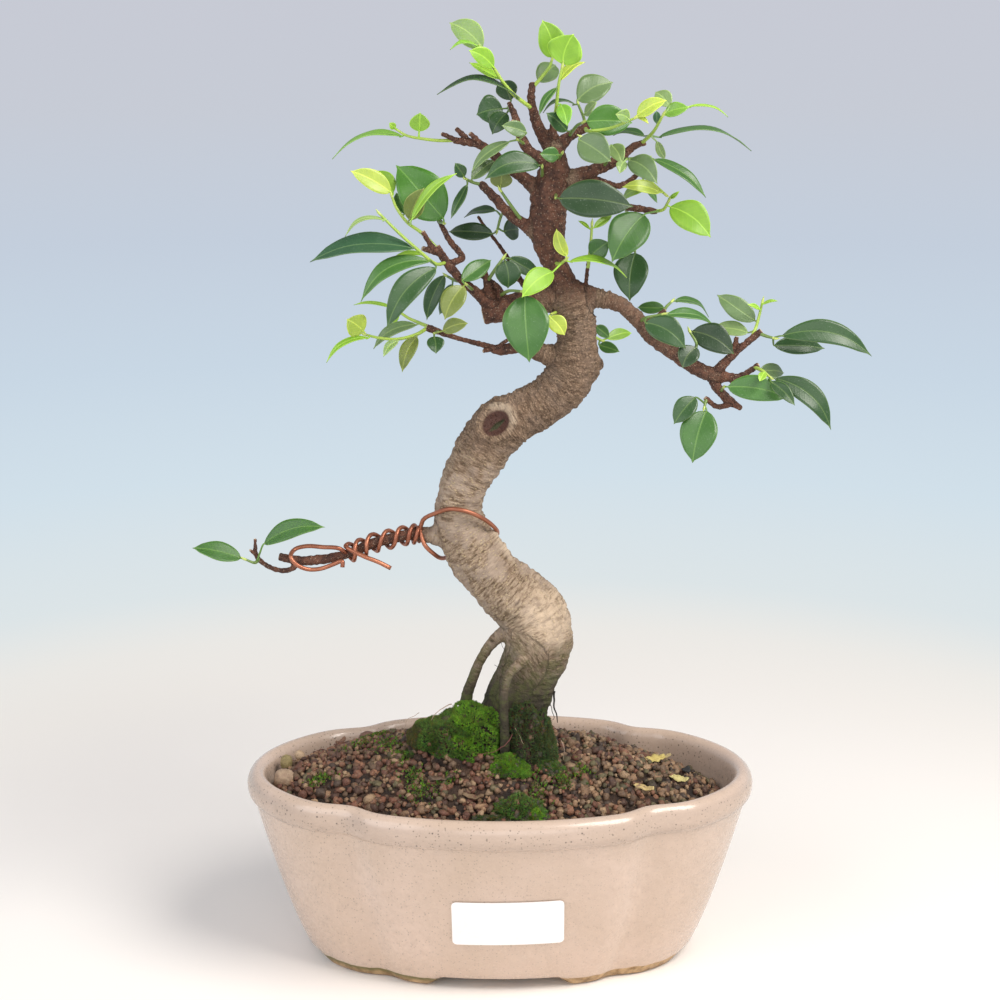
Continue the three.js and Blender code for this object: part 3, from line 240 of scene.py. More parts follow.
def soft_light(name, at, size, power, colour):
    lamp = bpy.data.lights.new(name, "AREA")
    lamp.shape = "DISK"
    lamp.size = size
    lamp.energy = power
    lamp.color = colour
    holder = bpy.data.objects.new(name, lamp)
    holder.location = TO_FRAME @ Vector(at)
    aim = TO_FRAME @ Vector((0, 0, 170)) - holder.location
    holder.rotation_euler = aim.to_track_quat("-Z", "Y").to_euler()
    bpy.context.collection.objects.link(holder)


soft_light("key_light", (560, -430, 900), 0.62, 10.5, (1.0, 0.965, 0.91))
soft_light("fill_light", (-680, -560, 560), 0.9, 4.2, (0.97, 0.975, 1.0))
soft_light("front_light", (80, -900, 420), 0.6, 1.6, (1.0, 0.97, 0.93))

sky = bpy.data.worlds.new("studio_air")
sky.use_nodes = True
sky.node_tree.nodes["Background"].inputs["Color"].default_value = (0.94, 0.96, 1.0, 1)
sky.node_tree.nodes["Background"].inputs["Strength"].default_value = 0.34
bpy.context.scene.world = sky

# ---- the pot ----
# A shallow oval stoneware pot with four lobes, slip cast and dipped in a cream satin glaze with iron specks.
# A rolled band runs round its lip. Its four feet stand below the glaze line and show the bare ochre clay.
POT_WIDTH = 199
POT_DEPTH = 121
POT_HEIGHT = 78
FOOT_WIDTH = 146
FOOT_DEPTH = 70
WALL = 5.5
LIP_DROP = 11.5
LIP_OVERHANG = 2.6
WALL_TOP = POT_HEIGHT - LIP_DROP
WALL_BULGE = 0.72
FLOOR_UNDERSIDE = 6
FLOOR_TOP = 13
FOOT_RING = 9
ARCH_HEIGHT = 4
ARCH_HALF = 25
SIDE_ARCH_HALF = 13
ARCH_SHOULDER = 7
LOBE_DENT = 0.055
LOBE_ANGLE = 52
LOBE_SPREAD = 6.5
DRAIN_RADIUS = 7
DRAIN_OFFSET = 32
POT_SEGMENTS = 288


def wall_at(height):
    """Half width and half depth of the outer wall; it bulges low and runs steeper above."""
    rise = min(max(height / WALL_TOP, 0), 1) ** WALL_BULGE
    half_width = FOOT_WIDTH / 2 + (POT_WIDTH / 2 - LIP_OVERHANG - FOOT_WIDTH / 2) * rise
    half_depth = FOOT_DEPTH / 2 + (POT_DEPTH / 2 - LIP_OVERHANG - FOOT_DEPTH / 2) * rise
    return half_width, half_depth


def on_plan(turn, half_width, half_depth, height):
    """A point of the four-lobed outline, at a given turn round the pot."""
    quarter = math.degrees(math.atan2(abs(math.sin(turn)), abs(math.cos(turn))))
    scale = 1 - LOBE_DENT * math.exp(-(((quarter - LOBE_ANGLE) / LOBE_SPREAD) ** 2))
    return Vector((half_width * scale * math.cos(turn), half_depth * scale * math.sin(turn), height))


def lobed_rings(rings, segments):
    """A shell through rings of [half width, half depth, height], capped at both ends."""
    bm = bmesh.new()
    bmesh.ops.create_circle(bm, cap_ends=False, radius=1, segments=segments)
    edges = list(bm.edges)
    ring_verts = list(bm.verts)
    turns = [math.atan2(corner.co.y, corner.co.x) for corner in ring_verts]
    for i, (half_width, half_depth, height) in enumerate(rings):
        if i > 0:
            grown = bmesh.ops.extrude_edge_only(bm, edges=edges)["geom"]
            edges = [item for item in grown if isinstance(item, bmesh.types.BMEdge)]
            ring_verts = [item for item in grown if isinstance(item, bmesh.types.BMVert)]
            turns = [math.atan2(corner.co.y / last[1], corner.co.x / last[0]) for corner in ring_verts]
        for corner, turn in zip(ring_verts, turns):
            corner.co = on_plan(turn, half_width, half_depth, height)
        last = (half_width, half_depth)
    for rim in (rings[0][2], rings[-1][2]):
        loose = [edge for edge in bm.edges if edge.is_boundary and abs(edge.verts[0].co.z - rim) < 0.01]
        if loose:
            bmesh.ops.contextual_create(bm, geom=loose)
    bmesh.ops.recalc_face_normals(bm, faces=bm.faces)
    return bm


recess_width = FOOT_WIDTH / 2 - FOOT_RING
recess_depth = FOOT_DEPTH / 2 - FOOT_RING
pot_rings = [(12, 6, FLOOR_UNDERSIDE), (recess_width - 2, recess_depth - 2, FLOOR_UNDERSIDE)]
pot_rings += [(recess_width, recess_depth, FLOOR_UNDERSIDE - 1.5), (recess_width, recess_depth, 1)]
pot_rings += [(recess_width + 1, recess_depth + 1, 0), (FOOT_WIDTH / 2 - 1, FOOT_DEPTH / 2 - 1, 0)]
for share in (0.012, 0.03, 0.06, 0.09, 0.13, 0.18, 0.24, 0.31, 0.39, 0.48, 0.57, 0.66, 0.75, 0.84, 0.92, 1.0):
    pot_rings.append((*wall_at(share * WALL_TOP), share * WALL_TOP))
lip_profile = [
    (2.35, 11.1), (1.3, 10.4), (0.5, 9.2), (0.1, 7.4), (0.0, 5.2), (0.5, 3.2), (1.4, 1.6), (2.6, 0.5),
    (4.0, 0.0), (5.4, 0.4), (6.6, 1.5), (7.4, 3.2), (7.9, 5.5), (8.1, 9.0),
]
for inward, below in lip_profile:
    pot_rings.append((POT_WIDTH / 2 - inward, POT_DEPTH / 2 - inward, POT_HEIGHT - below))
for height in (60, 52, 42, 32, 22):
    half_width, half_depth = wall_at(height)
    pot_rings.append((half_width - WALL, half_depth - WALL, height))
inner_width, inner_depth = wall_at(FLOOR_TOP)
pot_rings.append((inner_width - WALL - 2, inner_depth - WALL - 2, FLOOR_TOP + 1))
pot_rings.append((inner_width - WALL - 6, inner_depth - WALL - 6, FLOOR_TOP))
pot_rings.append((12, 6, FLOOR_TOP))

bm = lobed_rings(pot_rings, POT_SEGMENTS)
for corner in bm.verts:
    if corner.co.z > FLOOR_UNDERSIDE - 1:
        continue
    front = (ARCH_HALF + ARCH_SHOULDER / 2 - abs(corner.co.x)) / ARCH_SHOULDER
    flank = (SIDE_ARCH_HALF + ARCH_SHOULDER / 2 - abs(corner.co.y)) / ARCH_SHOULDER
    front = min(max(front, 0), 1)
    flank = min(max(flank, 0), 1)
    share = max(front * front * (3 - 2 * front), flank * flank * (3 - 2 * flank))
    arch = ARCH_HEIGHT * share
    corner.co.z = arch + corner.co.z * (1 - arch / FLOOR_UNDERSIDE)
pot_mesh = mesh_of(bm, "pot_body")

glaze = Finish("speckled_glaze", roughness=0.3, coat_weight=0.35, coat_roughness=0.12, specular_ior_level=0.5)
glaze_place = glaze.place()
pot_height = glaze.height(glaze_place)
pot_across = glaze.height(glaze_place, "X")
cloud = glaze.noise(glaze_place, 26, 3)
glaze_colour = glaze.ramp(cloud, [(0.3, (0.54, 0.405, 0.31)), (0.7, (0.605, 0.46, 0.37))])
mottle = glaze.noise(glaze_place, 3.2, 4, 0.65)
glaze_colour = glaze.mix(mottle.rise(0.35, 0.7) * 0.35, glaze_colour, (0.46, 0.345, 0.265))
band = pot_height.rise(POT_HEIGHT - 12.4, POT_HEIGHT - 10.4)
band_face = band * (1 - pot_height.rise(POT_HEIGHT - 3.5, POT_HEIGHT - 0.3))
glaze_colour = glaze.mix(band_face * 0.4, glaze_colour, (0.40, 0.30, 0.24))
leftward = 1 - pot_across.rise(-60, 60)


def specks(finish, where, size, reach, share):
    """Round specks of one size, in a share of the cells of a random pattern."""
    near = 1 - finish.cells(where, size).rise(reach * 0.55, reach)
    chosen = finish.height(finish.cells(where, size, "Color"), "X")
    return near * chosen.rise(1 - share, 1 - share + 0.04)


fine_specks = specks(glaze, glaze_place, 1.15, 0.3, 0.5) * (leftward * 0.4 + band_face * 0.5 + 0.35)
coarse_specks = specks(glaze, glaze_place, 2.0, 0.22, 0.4) * (band_face * 0.7 + leftward * 0.15 + 0.06)
glaze_colour = glaze.mix(fine_specks * 0.8, glaze_colour, (0.20, 0.155, 0.12))
glaze_colour = glaze.mix(coarse_specks, glaze_colour, (0.075, 0.06, 0.05))
chip = 1 - (glaze.from_point(glaze_place, (61.4, -44.6, 63.9)) + mottle * 1.2).rise(1.6, 2.4)
glaze_colour = glaze.mix(chip, glaze_colour, (0.17, 0.095, 0.045))
ragged = pot_height + glaze.noise(glaze_place, 7, 3) * 2.2 - 1.1
bare = 1 - ragged.rise(4.1, 4.7)
clay_colour = glaze.mix(mottle.rise(0.3, 0.7), (0.22, 0.125, 0.045), (0.52, 0.34, 0.17))
# Darker and greener towards the top of the bare foot, on the left side only.
foot_top_dark_left = ragged.rise(1.6, 4.0) * (1 - pot_across.rise(-30, -8))
clay_colour = glaze.mix(foot_top_dark_left * 0.85, clay_colour, (0.10, 0.095, 0.02))
glaze_colour = glaze.mix(bare, glaze_colour, clay_colour)
pot_bump = glaze.noise(glaze_place, 18, 1, 0.4) * 0.6 + bare * mottle * 0.6
glaze.end(glaze_colour, mottle * 0.14 + bare * 0.55 + 0.2, pot_bump, 0.07)
pot = set_down("pot_body", pot_mesh, glaze.material)

for side in (-1, 1):
    bm = bmesh.new()
    hole_place = TO_FRAME @ Matrix.Translation((side * DRAIN_OFFSET, 0, FLOOR_TOP / 2))
    sizes = {"radius1": DRAIN_RADIUS, "radius2": DRAIN_RADIUS, "depth": 40}
    bmesh.ops.create_cone(bm, cap_ends=True, segments=48, matrix=hole_place, **sizes)
    drill = bpy.data.objects.new("drain_drill", mesh_of(bm, "drain_drill"))
    bpy.context.collection.objects.link(drill)
    cut = pot.modifiers.new("drain_hole", "BOOLEAN")
    cut.object = drill
    cut.solver = "EXACT"
    drilled = bpy.data.meshes.new_from_object(pot.evaluated_get(bpy.context.evaluated_depsgraph_get()))
    pot.modifiers.clear()
    pot.data = drilled
    bpy.data.objects.remove(drill)
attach(pot, "root")
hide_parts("pot")

# ---- the label ----
# A small blank paper label with rounded corners, stuck by hand on the front of the pot, not quite level.
LABEL_WIDTH = 42
LABEL_HEIGHT = 20
LABEL_ACROSS = 3
LABEL_UP = 34
LABEL_THICKNESS = 0.18
LABEL_TILT = 0.7
LABEL_CORNER = 1.8
LABEL_STRIPS = 24

bm = bmesh.new()
bmesh.ops.create_grid(bm, x_segments=1, y_segments=1, size=0.5)
bmesh.ops.scale(bm, vec=(LABEL_WIDTH, LABEL_HEIGHT, 1), verts=bm.verts)
corners = {"geom": list(bm.verts), "affect": "VERTICES", "material": -1, "profile": 0.5}
bmesh.ops.bevel(bm, offset=LABEL_CORNER, offset_type="OFFSET", segments=6, **corners)
for i in range(1, LABEL_STRIPS):
    cut_at = (-LABEL_WIDTH / 2 + LABEL_WIDTH * i / LABEL_STRIPS, 0, 0)
    sheet = bm.verts[:] + bm.edges[:] + bm.faces[:]
    bmesh.ops.bisect_plane(bm, geom=sheet, plane_co=cut_at, plane_no=(1, 0, 0))
tilt = Matrix.Rotation(math.radians(LABEL_TILT), 3, "Z")
bmesh.ops.rotate(bm, cent=(0, 0, 0), matrix=tilt, verts=bm.verts)
for corner in bm.verts:
    across, up = corner.co.x + LABEL_ACROSS, corner.co.y + LABEL_UP
    half_width, half_depth = wall_at(up)
    corner.co = Vector((across, -half_depth * math.sqrt(1 - (across / half_width) ** 2) - 0.4, up))
bmesh.ops.recalc_face_normals(bm, faces=bm.faces)
bmesh.ops.solidify(bm, geom=bm.faces[:], thickness=LABEL_THICKNESS)
bmesh.ops.recalc_face_normals(bm, faces=bm.faces)

card = Finish("label_paper", roughness=0.5)
card_fibre = card.noise(card.place(), 1.4, 4)
card_colour = card.mix(card_fibre, (0.86, 0.83, 0.81), (0.92, 0.89, 0.875))
card.end(card_colour, card_fibre * 0.1 + 0.42, card_fibre, 0.03)
label = set_down("label", mesh_of(bm, "label"), card.material, smooth=False)
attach(label, "root")
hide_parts("pot_label")

# ---- the drainage screens and their clips ----
# Black moulded plastic mesh lies over each drain hole inside the pot. A bent steel wire pokes up through the
# hole and the mesh, and its two legs spread under the pot's floor, so the mesh can't shift.
mesh_plastic = Finish("screen_plastic", roughness=0.55)
moulded = mesh_plastic.noise(mesh_plastic.place(), 2, 3)
plastic_colour = mesh_plastic.mix(moulded, (0.012, 0.012, 0.012), (0.03, 0.03, 0.028))
mesh_plastic.end(plastic_colour, moulded * 0.3 + 0.4, moulded, 0.05)
clip_steel = Finish("clip_steel", roughness=0.4, metallic=1.0)
drawn = clip_steel.noise(clip_steel.place(stretch=(4, 1, 1)), 0.8, 3)
steel_colour = clip_steel.mix(drawn, (0.42, 0.4, 0.37), (0.6, 0.59, 0.57))
clip_steel.end(steel_colour, drawn * 0.3 + 0.25)
for side in ("left", "right"):
    for name, made in (("drainage_screen_", mesh_plastic), ("screen_clip_", clip_steel)):
        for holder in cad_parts[name + side].material_slots:
            holder.material = made.material

# ---- the soil ----
# A mound of baked clay granules, two to three millimetres across, redder and damp on the left and drier and
# more tan on the right, over finer dark crumb. A few yellowed scraps and bits of bark lie about on it.
SOIL_EDGE = 68
SOIL_RISE = 23
SOIL_LEAN = 0.04
GRAINS = 5200
GRAIN_RADIUS = 1.15
GRAIN_SPREAD = 0.4
SMALLEST_GRAIN = 0.55
LARGEST_GRAIN = 2.5
random.seed(11)


def soil_reach(height=SOIL_EDGE - SOIL_LEAN * POT_WIDTH / 2):
    half_width, half_depth = wall_at(height)
    return half_width - WALL - 0.7, half_depth - WALL - 0.7


def soil_at(across, back):
    """How high the mound stands at a place."""
    half_width, half_depth = soil_reach()
    turn = math.atan2(back / half_depth, across / half_width)
    edge = on_plan(turn, half_width, half_depth, 0)
    share = math.hypot(across, back) / max(math.hypot(edge.x, edge.y), 0.01)
    heap = noise.noise(Vector((across, back, 3)) / 17) * 1.6 * (1 - share * share)
    return SOIL_EDGE + SOIL_RISE * (1 - share * share) + heap - SOIL_LEAN * across


soil_rings = [(8, 5, FLOOR_TOP + 0.4)]
for height in (FLOOR_TOP + 0.4, 24, 36, 50, 62):
    soil_rings.append((*soil_reach(height), height))
for share in (0.99, 0.9, 0.8, 0.7, 0.6, 0.5, 0.4, 0.3, 0.2, 0.1):
    half_width, half_depth = soil_reach()
    rise = SOIL_EDGE + SOIL_RISE * (1 - share * share) - 1.4
    soil_rings.append((half_width * share, half_depth * share, rise))
bm = lobed_rings(soil_rings, 96)
for corner in bm.verts:
    if corner.co.z > SOIL_EDGE - 2:
        corner.co.z -= SOIL_LEAN * corner.co.x
crumb = Finish("fine_crumb", roughness=0.95)
crumb_place = crumb.place()
crumb_grit = crumb.cells(crumb_place, 0.9)
crumb_tone = crumb.noise(crumb_place, 6, 4)
crumb_colour = crumb.mix(crumb_tone.rise(0.35, 0.7), (0.018, 0.011, 0.008), (0.07, 0.037, 0.022))
crumb.end(crumb_colour, None, crumb_grit, 0.8)
soil_core = set_down("soil_crumb", mesh_of(bm, "soil_crumb"), crumb.material)
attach(soil_core, "root")

GRAIN_COLOURS = [
    (0.16, 0.062, 0.034), (0.21, 0.095, 0.052), (0.12, 0.047, 0.028), (0.075, 0.033, 0.02),
    (0.13, 0.075, 0.042), (0.25, 0.145, 0.08), (0.17, 0.105, 0.062), (0.31, 0.20, 0.115),
    (0.05, 0.03, 0.02), (0.105, 0.085, 0.04),
]


def strewn(name, shapes, count, lay, *given):
    """Many copies of a few small shapes in one mesh. lay gives each copy its place and its tone."""
    heap = bmesh.new()
    for _ in range(count):
        laid = lay(*given)
        if laid is None:
            continue
        where, colour = laid
        copy = random.choice(shapes).copy()
        copy.transform(where)
        tones = copy.attributes["tone"].data
        tones.foreach_set("color", (*colour, 1) * len(tones))
        heap.from_mesh(copy)
        bpy.data.meshes.remove(copy)
    return mesh_of(heap, name)


def toned(bm, name):
    mesh = mesh_of(bm, name)
    mesh.attributes.new("tone", "FLOAT_COLOR", "POINT")
    return mesh


def any_turn():
    axis = Vector((random.gauss(0, 1), random.gauss(0, 1), random.gauss(0, 1)))
    return Matrix.Rotation(random.random() * 2 * math.pi, 4, axis)


grain_shapes = []
for i in range(9):
    bm = bmesh.new()
    bmesh.ops.create_uvsphere(bm, u_segments=7, v_segments=5, radius=1)
    for corner in bm.verts:
        corner.co *= 1 + noise.noise(corner.co * 1.3 + Vector((i * 7, 0, 0))) * 0.55
    grain_shapes.append(toned(bm, "grain_shape"))


def lay_grain():
    share = math.sqrt(random.random())
    half_width, half_depth = soil_reach()
    spot = on_plan(random.random() * 2 * math.pi, half_width * share * 0.985, half_depth * share * 0.985, 0)
    radius = min(max(random.gauss(GRAIN_RADIUS, GRAIN_SPREAD), SMALLEST_GRAIN), LARGEST_GRAIN)
    spot.z = soil_at(spot.x, spot.y) + random.uniform(-1.7, 0.5) - radius * 0.3
    sides = random.uniform(0.8, 1.25), random.uniform(0.8, 1.2), random.uniform(0.7, 1.0)
    squash = Matrix.Diagonal((*sides, 1))
    drier = 0.5 + spot.x / 190 + noise.noise(spot / 14) * 0.35
    shades = GRAIN_COLOURS[5:] if random.random() < drier * 0.8 else GRAIN_COLOURS[:6]
    pick = Vector(random.choice(shades)) * random.uniform(0.75, 1.3)
    return Matrix.Translation(spot) @ any_turn() @ squash @ Matrix.Scale(radius, 4), pick


granule = Finish("baked_granules", roughness=0.7)
granule_tone = granule.node("ShaderNodeAttribute", {"attribute_name": "tone"}, {}, "Color")
granule_place = granule.place()
granule_pits = granule.noise(granule_place, 0.55, 3, 0.7)
dust = granule.noise(granule_place, 1.3, 3).rise(0.5, 0.75)
granule_colour = granule.mix(dust * 0.3, granule_tone, (0.32, 0.22, 0.14))
granule_colour = granule.mix(1 - granule_pits.rise(0.25, 0.5), granule_colour, (0.03, 0.02, 0.014))
moss_dust = granule.noise(granule_place, 11, 4, 0.7).rise(0.58, 0.72) * granule_pits.rise(0.4, 0.6)
granule_colour = granule.mix(moss_dust * 0.5, granule_colour, (0.075, 0.085, 0.02))
granule.end(granule_colour, granule_pits * 0.5 + 0.35, granule_pits, 0.35)
for name in ("soil_granules", "soil_granules_more"):
    heap = set_down(name, strewn(name, grain_shapes, GRAINS // 2, lay_grain), granule.material)
    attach(heap, "root")
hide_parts("soil")

# ---- the pebbles ----
# Four larger stones lie against the pot's wall at the left and back: a tan one, a greenish one, and two
# smaller ones. They are water worn, so they are round, with fine pits and a little algae.
PEBBLES = {
    "pebble_tan_large": ((0.29, 0.19, 0.125), (0.42, 0.30, 0.20)),
    "pebble_green": ((0.20, 0.16, 0.06), (0.34, 0.26, 0.12)),
    "pebble_tan_small": ((0.42, 0.29, 0.18), (0.52, 0.38, 0.25)),
    "pebble_brown": ((0.14, 0.07, 0.05), (0.22, 0.12, 0.085)),
}
for name, (dark, light) in PEBBLES.items():
    low, high = (TO_FRAME.inverted() @ Vector(corner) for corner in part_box(name))
    bm = bmesh.new()
    bmesh.ops.create_icosphere(bm, subdivisions=4, radius=0.5)
    for corner in bm.verts:
        pitted = noise.fractal(corner.co * 4 + low, 0.8, 2.1, 4) * 0.05
        lumpy = noise.noise(corner.co * 2 + high) * 0.12
        corner.co *= 0.97 + (pitted + lumpy)
        corner.co = (low + high) / 2 + Vector(a * b for a, b in zip(corner.co, high - low))
    stone = Finish(name + "_stone", roughness=0.8)
    stone_place = stone.place()
    stone_tone = stone.noise(stone_place, 2.2, 5, 0.65)
    stone_pits = stone.noise(stone_place, 0.5, 3, 0.7)
    stone_colour = stone.mix(stone_tone.rise(0.3, 0.7), dark, light)
    stone_colour = stone.mix(1 - stone_pits.rise(0.28, 0.45), stone_colour, (0.05, 0.035, 0.02))
    stone.end(stone_colour, stone_pits * 0.3 + 0.5, stone_pits + stone_tone * 0.6, 0.22)
    piece = set_down(name + "_worn", mesh_of(bm, name), stone.material)
    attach(piece, "root")
    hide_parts(name)

# ---- the wood ----
# One fig trunk that bends left, right and left again, with a healed knot, two air roots and spreading roots.
# The lower bark is grey tan with cross ridges and pale pores; the crown and the twigs are reddish brown.
# A point is [across, up, near, radius]: as seen from the front against the trunk's own plane, and how far
# in front of that plane it lies.
TRUNK = [
    (4, 70, 0, 15), (4.5, 90, 0, 12.6), (6.4, 104, 1, 12.4), (10.5, 114, 2, 12.3), (14, 124, 3, 12.6),
    (15, 132, 4, 13.4), (11.5, 141, 4, 13.6), (3, 149.5, 3, 12.2), (-6, 159, 2, 10.8), (-12, 168, 1, 10.4),
    (-15.5, 176, 0, 10), (-15.2, 185, 0, 9), (-12.5, 194, 0, 9.3), (-7.5, 203, 0, 10.2), (0, 213, 0, 10.6),
    (9, 218.5, 0, 9.2), (18, 224, 0, 8.8), (25, 231, 1, 9.2), (28.2, 239, 2, 8.8), (28.4, 247, 2, 7.4),
    (27.5, 254, 2, 7.9), (26.2, 261, 2, 8.6), (24, 267, 2, 5), (21.5, 273, 2, 4.2), (19, 278, 2, 4.8),
    (17.8, 285, 2, 6), (17.6, 293, 2, 7), (18, 301, 2, 6.4), (20, 309, 1, 5.4), (19.8, 317, 0, 3.6),
]
ROOTS = [
    [(4, 134, 2, 3.2), (-3, 128, 3, 2.3), (-7.5, 121, 4, 2.1), (-10.5, 114, 4, 2.1), (-13, 106, 4, 2.4),
     (-15, 92, 4, 3), (-15, 78, 4, 3)],
    [(13, 125, 12, 3), (8, 120, 15, 2), (3.6, 115, 17, 1.8), (1.8, 108, 18, 1.7), (1.7, 99, 19, 1.7),
     (2, 90, 20, 2), (2, 76, 20, 2)],
    [(4, 96, 4, 9), (-12, 95, 8, 6), (-24, 91, 10, 4.5), (-33, 82, 12, 3.4), (-36, 74, 12, 2.5)],
    [(6, 90, -6, 8), (16, 82, -14, 5), (26, 74, -22, 3.5)],
    [(6, 92, 4, 7), (9, 82, 10, 5), (11, 74, 14, 4)],
    [(6, 95, -6, 8), (0, 88, -22, 5), (-4, 76, -32, 3)],
]
CROWN_BRANCHES = [
    [(16, 300, 2, 3.4), (9, 305.5, 2, 2.3), (3.5, 309.5, 1, 2), (-2, 314, 0, 1.8), (-7, 317.5, 0, 1.7),
     (-17, 319.3, 0, 1.1)],
    [(-5, 316, 0, 1.3), (-11, 322, 2, 0.9)],
    [(-10, 318, 0, 1.2), (-16, 323.5, -2, 0.9)],
    [(-15, 319, 0, 1), (-21.5, 321.7, 2, 0.8)],
    [(16, 285, 2, 4), (9.5, 288.7, 2, 2.4), (3.5, 292.7, 2, 2), (-1.5, 298.2, 1, 1.8), (-7.5, 304.3, 1, 1.4)],
    [(18, 311, 1, 3), (11, 315, 4, 2), (7.6, 320.5, 5, 1.8), (5, 329, 5, 1.2), (3, 333, 5, 0.8)],
    [(6.4, 323, 5, 1.2), (4.2, 326, 7, 1)],
    [(19.5, 315, 0, 3.2), (15.5, 321, 1, 2.2), (12.8, 327, 1, 1.9), (11.3, 334, 2, 1.6), (11.8, 340, 2, 1.1)],
    [(19.5, 315, 0, 2.8), (19.3, 321, 0, 1.7), (19.4, 326.5, 0, 1)],
    [(19.5, 315, 0, 3.2), (25, 320.5, 0, 2), (30, 323.2, 0, 1.7), (36, 328, 0, 1.3)],
    [(20, 304, 0, 4.6), (29, 307, -1, 2.6), (37, 309.5, -2, 2), (44, 313, -2, 1.7), (48.5, 317, -2, 1.4),
     (53, 318.6, -2, 1.1)],
    [(30, 307, -1, 2), (38, 304, -5, 1.4), (44, 303, -6, 1.2), (53, 309, -6, 0.9)],
    [(19, 297, 0, 4), (32, 298, -6, 2), (42, 296, -4, 1.5), (49, 295, -3, 1.3), (58, 293.6, -2, 1.1)],
]
SAWN_LIMB = [
    [(25, 261, 2, 5.5), (12, 261, 3, 5), (3, 258, 3, 4.9), (-6.5, 255.5, 3, 3.6)],
    [(-1, 257, 3, 4), (-6.5, 262, 3, 2.3), (-13, 267.5, 3, 1.7), (-18.5, 273.5, 3, 1.7),
     (-23.5, 281, 3, 1.5)],
    [(-3, 257, 3, 3), (-4.5, 266, 3, 1.6), (-6, 272.5, 3, 1.2)],
    [(0, 258, 3, 2.6), (0, 264.5, 2, 1.4), (-9.5, 272, 0, 0.8)],
    [(-21, 277, 3, 1.4), (-25.5, 281.5, 5, 1), (-28.5, 286.5, 6, 0.9)],
    [(-22, 278, 3, 1.2), (-28.7, 280.4, 6, 1)],
    [(-19, 274.5, 3, 1.3), (-14, 277, -1, 1.3), (-18.5, 283, -4, 1.1), (-25.5, 297, -8, 0.8)],
    [(26, 239, 1, 6), (14, 241.5, 3, 3), (7, 243.5, 3, 2.2), (0, 242.3, 3, 2), (-6, 244.3, 3, 1.1),
     (-16, 247, 3, 1), (-27.5, 251, 3, 1.4)],
    [(-2, 243, 3, 0.9), (4, 247, 6, 0.7)],
    [(-2, 243, 3, 1), (-6.5, 242, 5, 0.8)],
    [(17, 262, -2, 2.6), (8, 268, -9, 1.2), (3, 276.5, -10, 0.9), (-8.3, 292, -10, 0.6)],
]
RIGHT_BRANCH = [
    [(29, 262, 1, 6), (36, 262, 2, 3.6), (41, 261, 3, 3.1), (46, 258.5, 4, 3), (51, 254, 5, 3),
     (56, 248, 6, 2.9), (62, 243.5, 7, 2.8), (69, 238.5, 8, 2.6), (75, 235, 9, 2.6), (81, 232.8, 9, 2.8),
     (89, 232, 9, 1.3)],
    [(80, 233, 9, 2.4), (84, 237.5, 9, 1.8), (89, 242.5, 9, 1.4), (97.5, 249.7, 9, 1.3)],
    [(87, 241, 9, 1.2), (88.5, 247.5, 7, 0.9)],
    [(80, 231, 9, 2), (83, 226.5, 9, 1.8), (87, 222.8, 9, 1.7), (91, 220.2, 9, 0.9)],
    [(88, 222.5, 9, 1.4), (82, 221, 11, 1), (77, 224.5, 12, 1)],
    [(86, 231, 9, 1.6), (91, 233, 10, 1.1), (97, 236.8, 11, 1.1)],
    [(54, 251, 5, 2.2), (58.5, 254.5, 2, 1.2), (61.5, 257.5, 1, 1)],
    [(31.5, 260, 3, 2), (31.8, 266, 3, 0.9), (32.6, 276, 3, 0.7)],
]
WIRED_BRANCH = [
    [(-16, 171, 0, 7), (-27, 171.3, 0, 3.2), (-34, 171.5, 0, 2.1), (-40, 170, 0, 2), (-47, 168.5, 0, 2),
     (-53, 166, 0, 1.9), (-60, 163.4, 0, 1.8), (-68, 161.6, 0, 1.8), (-76, 161, 0, 1.8),
     (-85, 162.6, 0, 1.7)],
    [(-77, 161, 0, 1.5), (-80.5, 157.6, 0, 1.1), (-85, 157.2, 0, 1.1), (-90, 159.3, 0, 1), (-93.5, 163, 0, 1),
     (-93.8, 169.8, 0, 0.6)],
    [(-93, 162.5, 0, 0.8), (-96, 165.3, 2, 0.6)],
]
KNOT = (-1.5, 214.5, 9.4)
KNOT_RADIUS = 4.6
KNOT_LEAN = math.radians(38)
LIMB_CORNERS = 24
SCAR = [(-2.5, 172, 3), (1, 165, 5), (5, 159, 6.5), (10, 154, 7), (15, 150.5, 8), (20.5, 147, 8)]
STUBS = [
    ((2.6, 196.5, 0), 1.5, 1.6), ((37, 237, 1), 1.5, 1.8), ((36.4, 233, 3), 1.2, 1.0),
    ((11, 203.5, 2), 1.6, 0.9),
]


def seen(across, up, near):
    """Where a point lies that is seen from the front at [across, up], so far before the trunk's plane."""
    return Vector((across, 0, up)).lerp(EYE, -near / EYE.y)


def smooth_route(points, per_span):
    """A smooth curve through the points, as a list of places."""
    ends = [points[0] * 2 - points[1], *points, points[-1] * 2 - points[-2]]
    route = []
    for before, start, end, after in zip(ends, ends[1:], ends[2:], ends[3:]):
        first, middle, last = (
            max((b - a).length ** 0.5, 0.01) for a, b in ((before, start), (start, end), (end, after))
        )
        leave = ((start - before) / first - (end - before) / (first + middle)) * middle + (end - start)
        arrive = (end - start) + ((after - end) / last - (after - start) / (middle + last)) * middle
        for i in range(per_span):
            t = i / per_span
            turn = (end - start) * 3 - leave * 2 - arrive
            settle = (start - end) * 2 + leave + arrive
            route.append(start + leave * t + turn * t * t + settle * t * t * t)
    route.append(points[-1].copy())
    return route


def frames_along(route):
    """Each place on a route, two directions square to it that turn as little as they can, and its own."""
    start = (route[1] - route[0]).normalized()
    side = start.cross(Vector((0, 0, 1)) if abs(start.y) > 0.8 else Vector((0, -1, 0)))
    frames = []
    for i, centre in enumerate(route):
        along = (route[min(i + 1, len(route) - 1)] - route[max(i - 1, 0)]).normalized()
        side = (side - along * side.dot(along)).normalized()
        frames.append((centre, side, side.cross(along), along))
    return frames


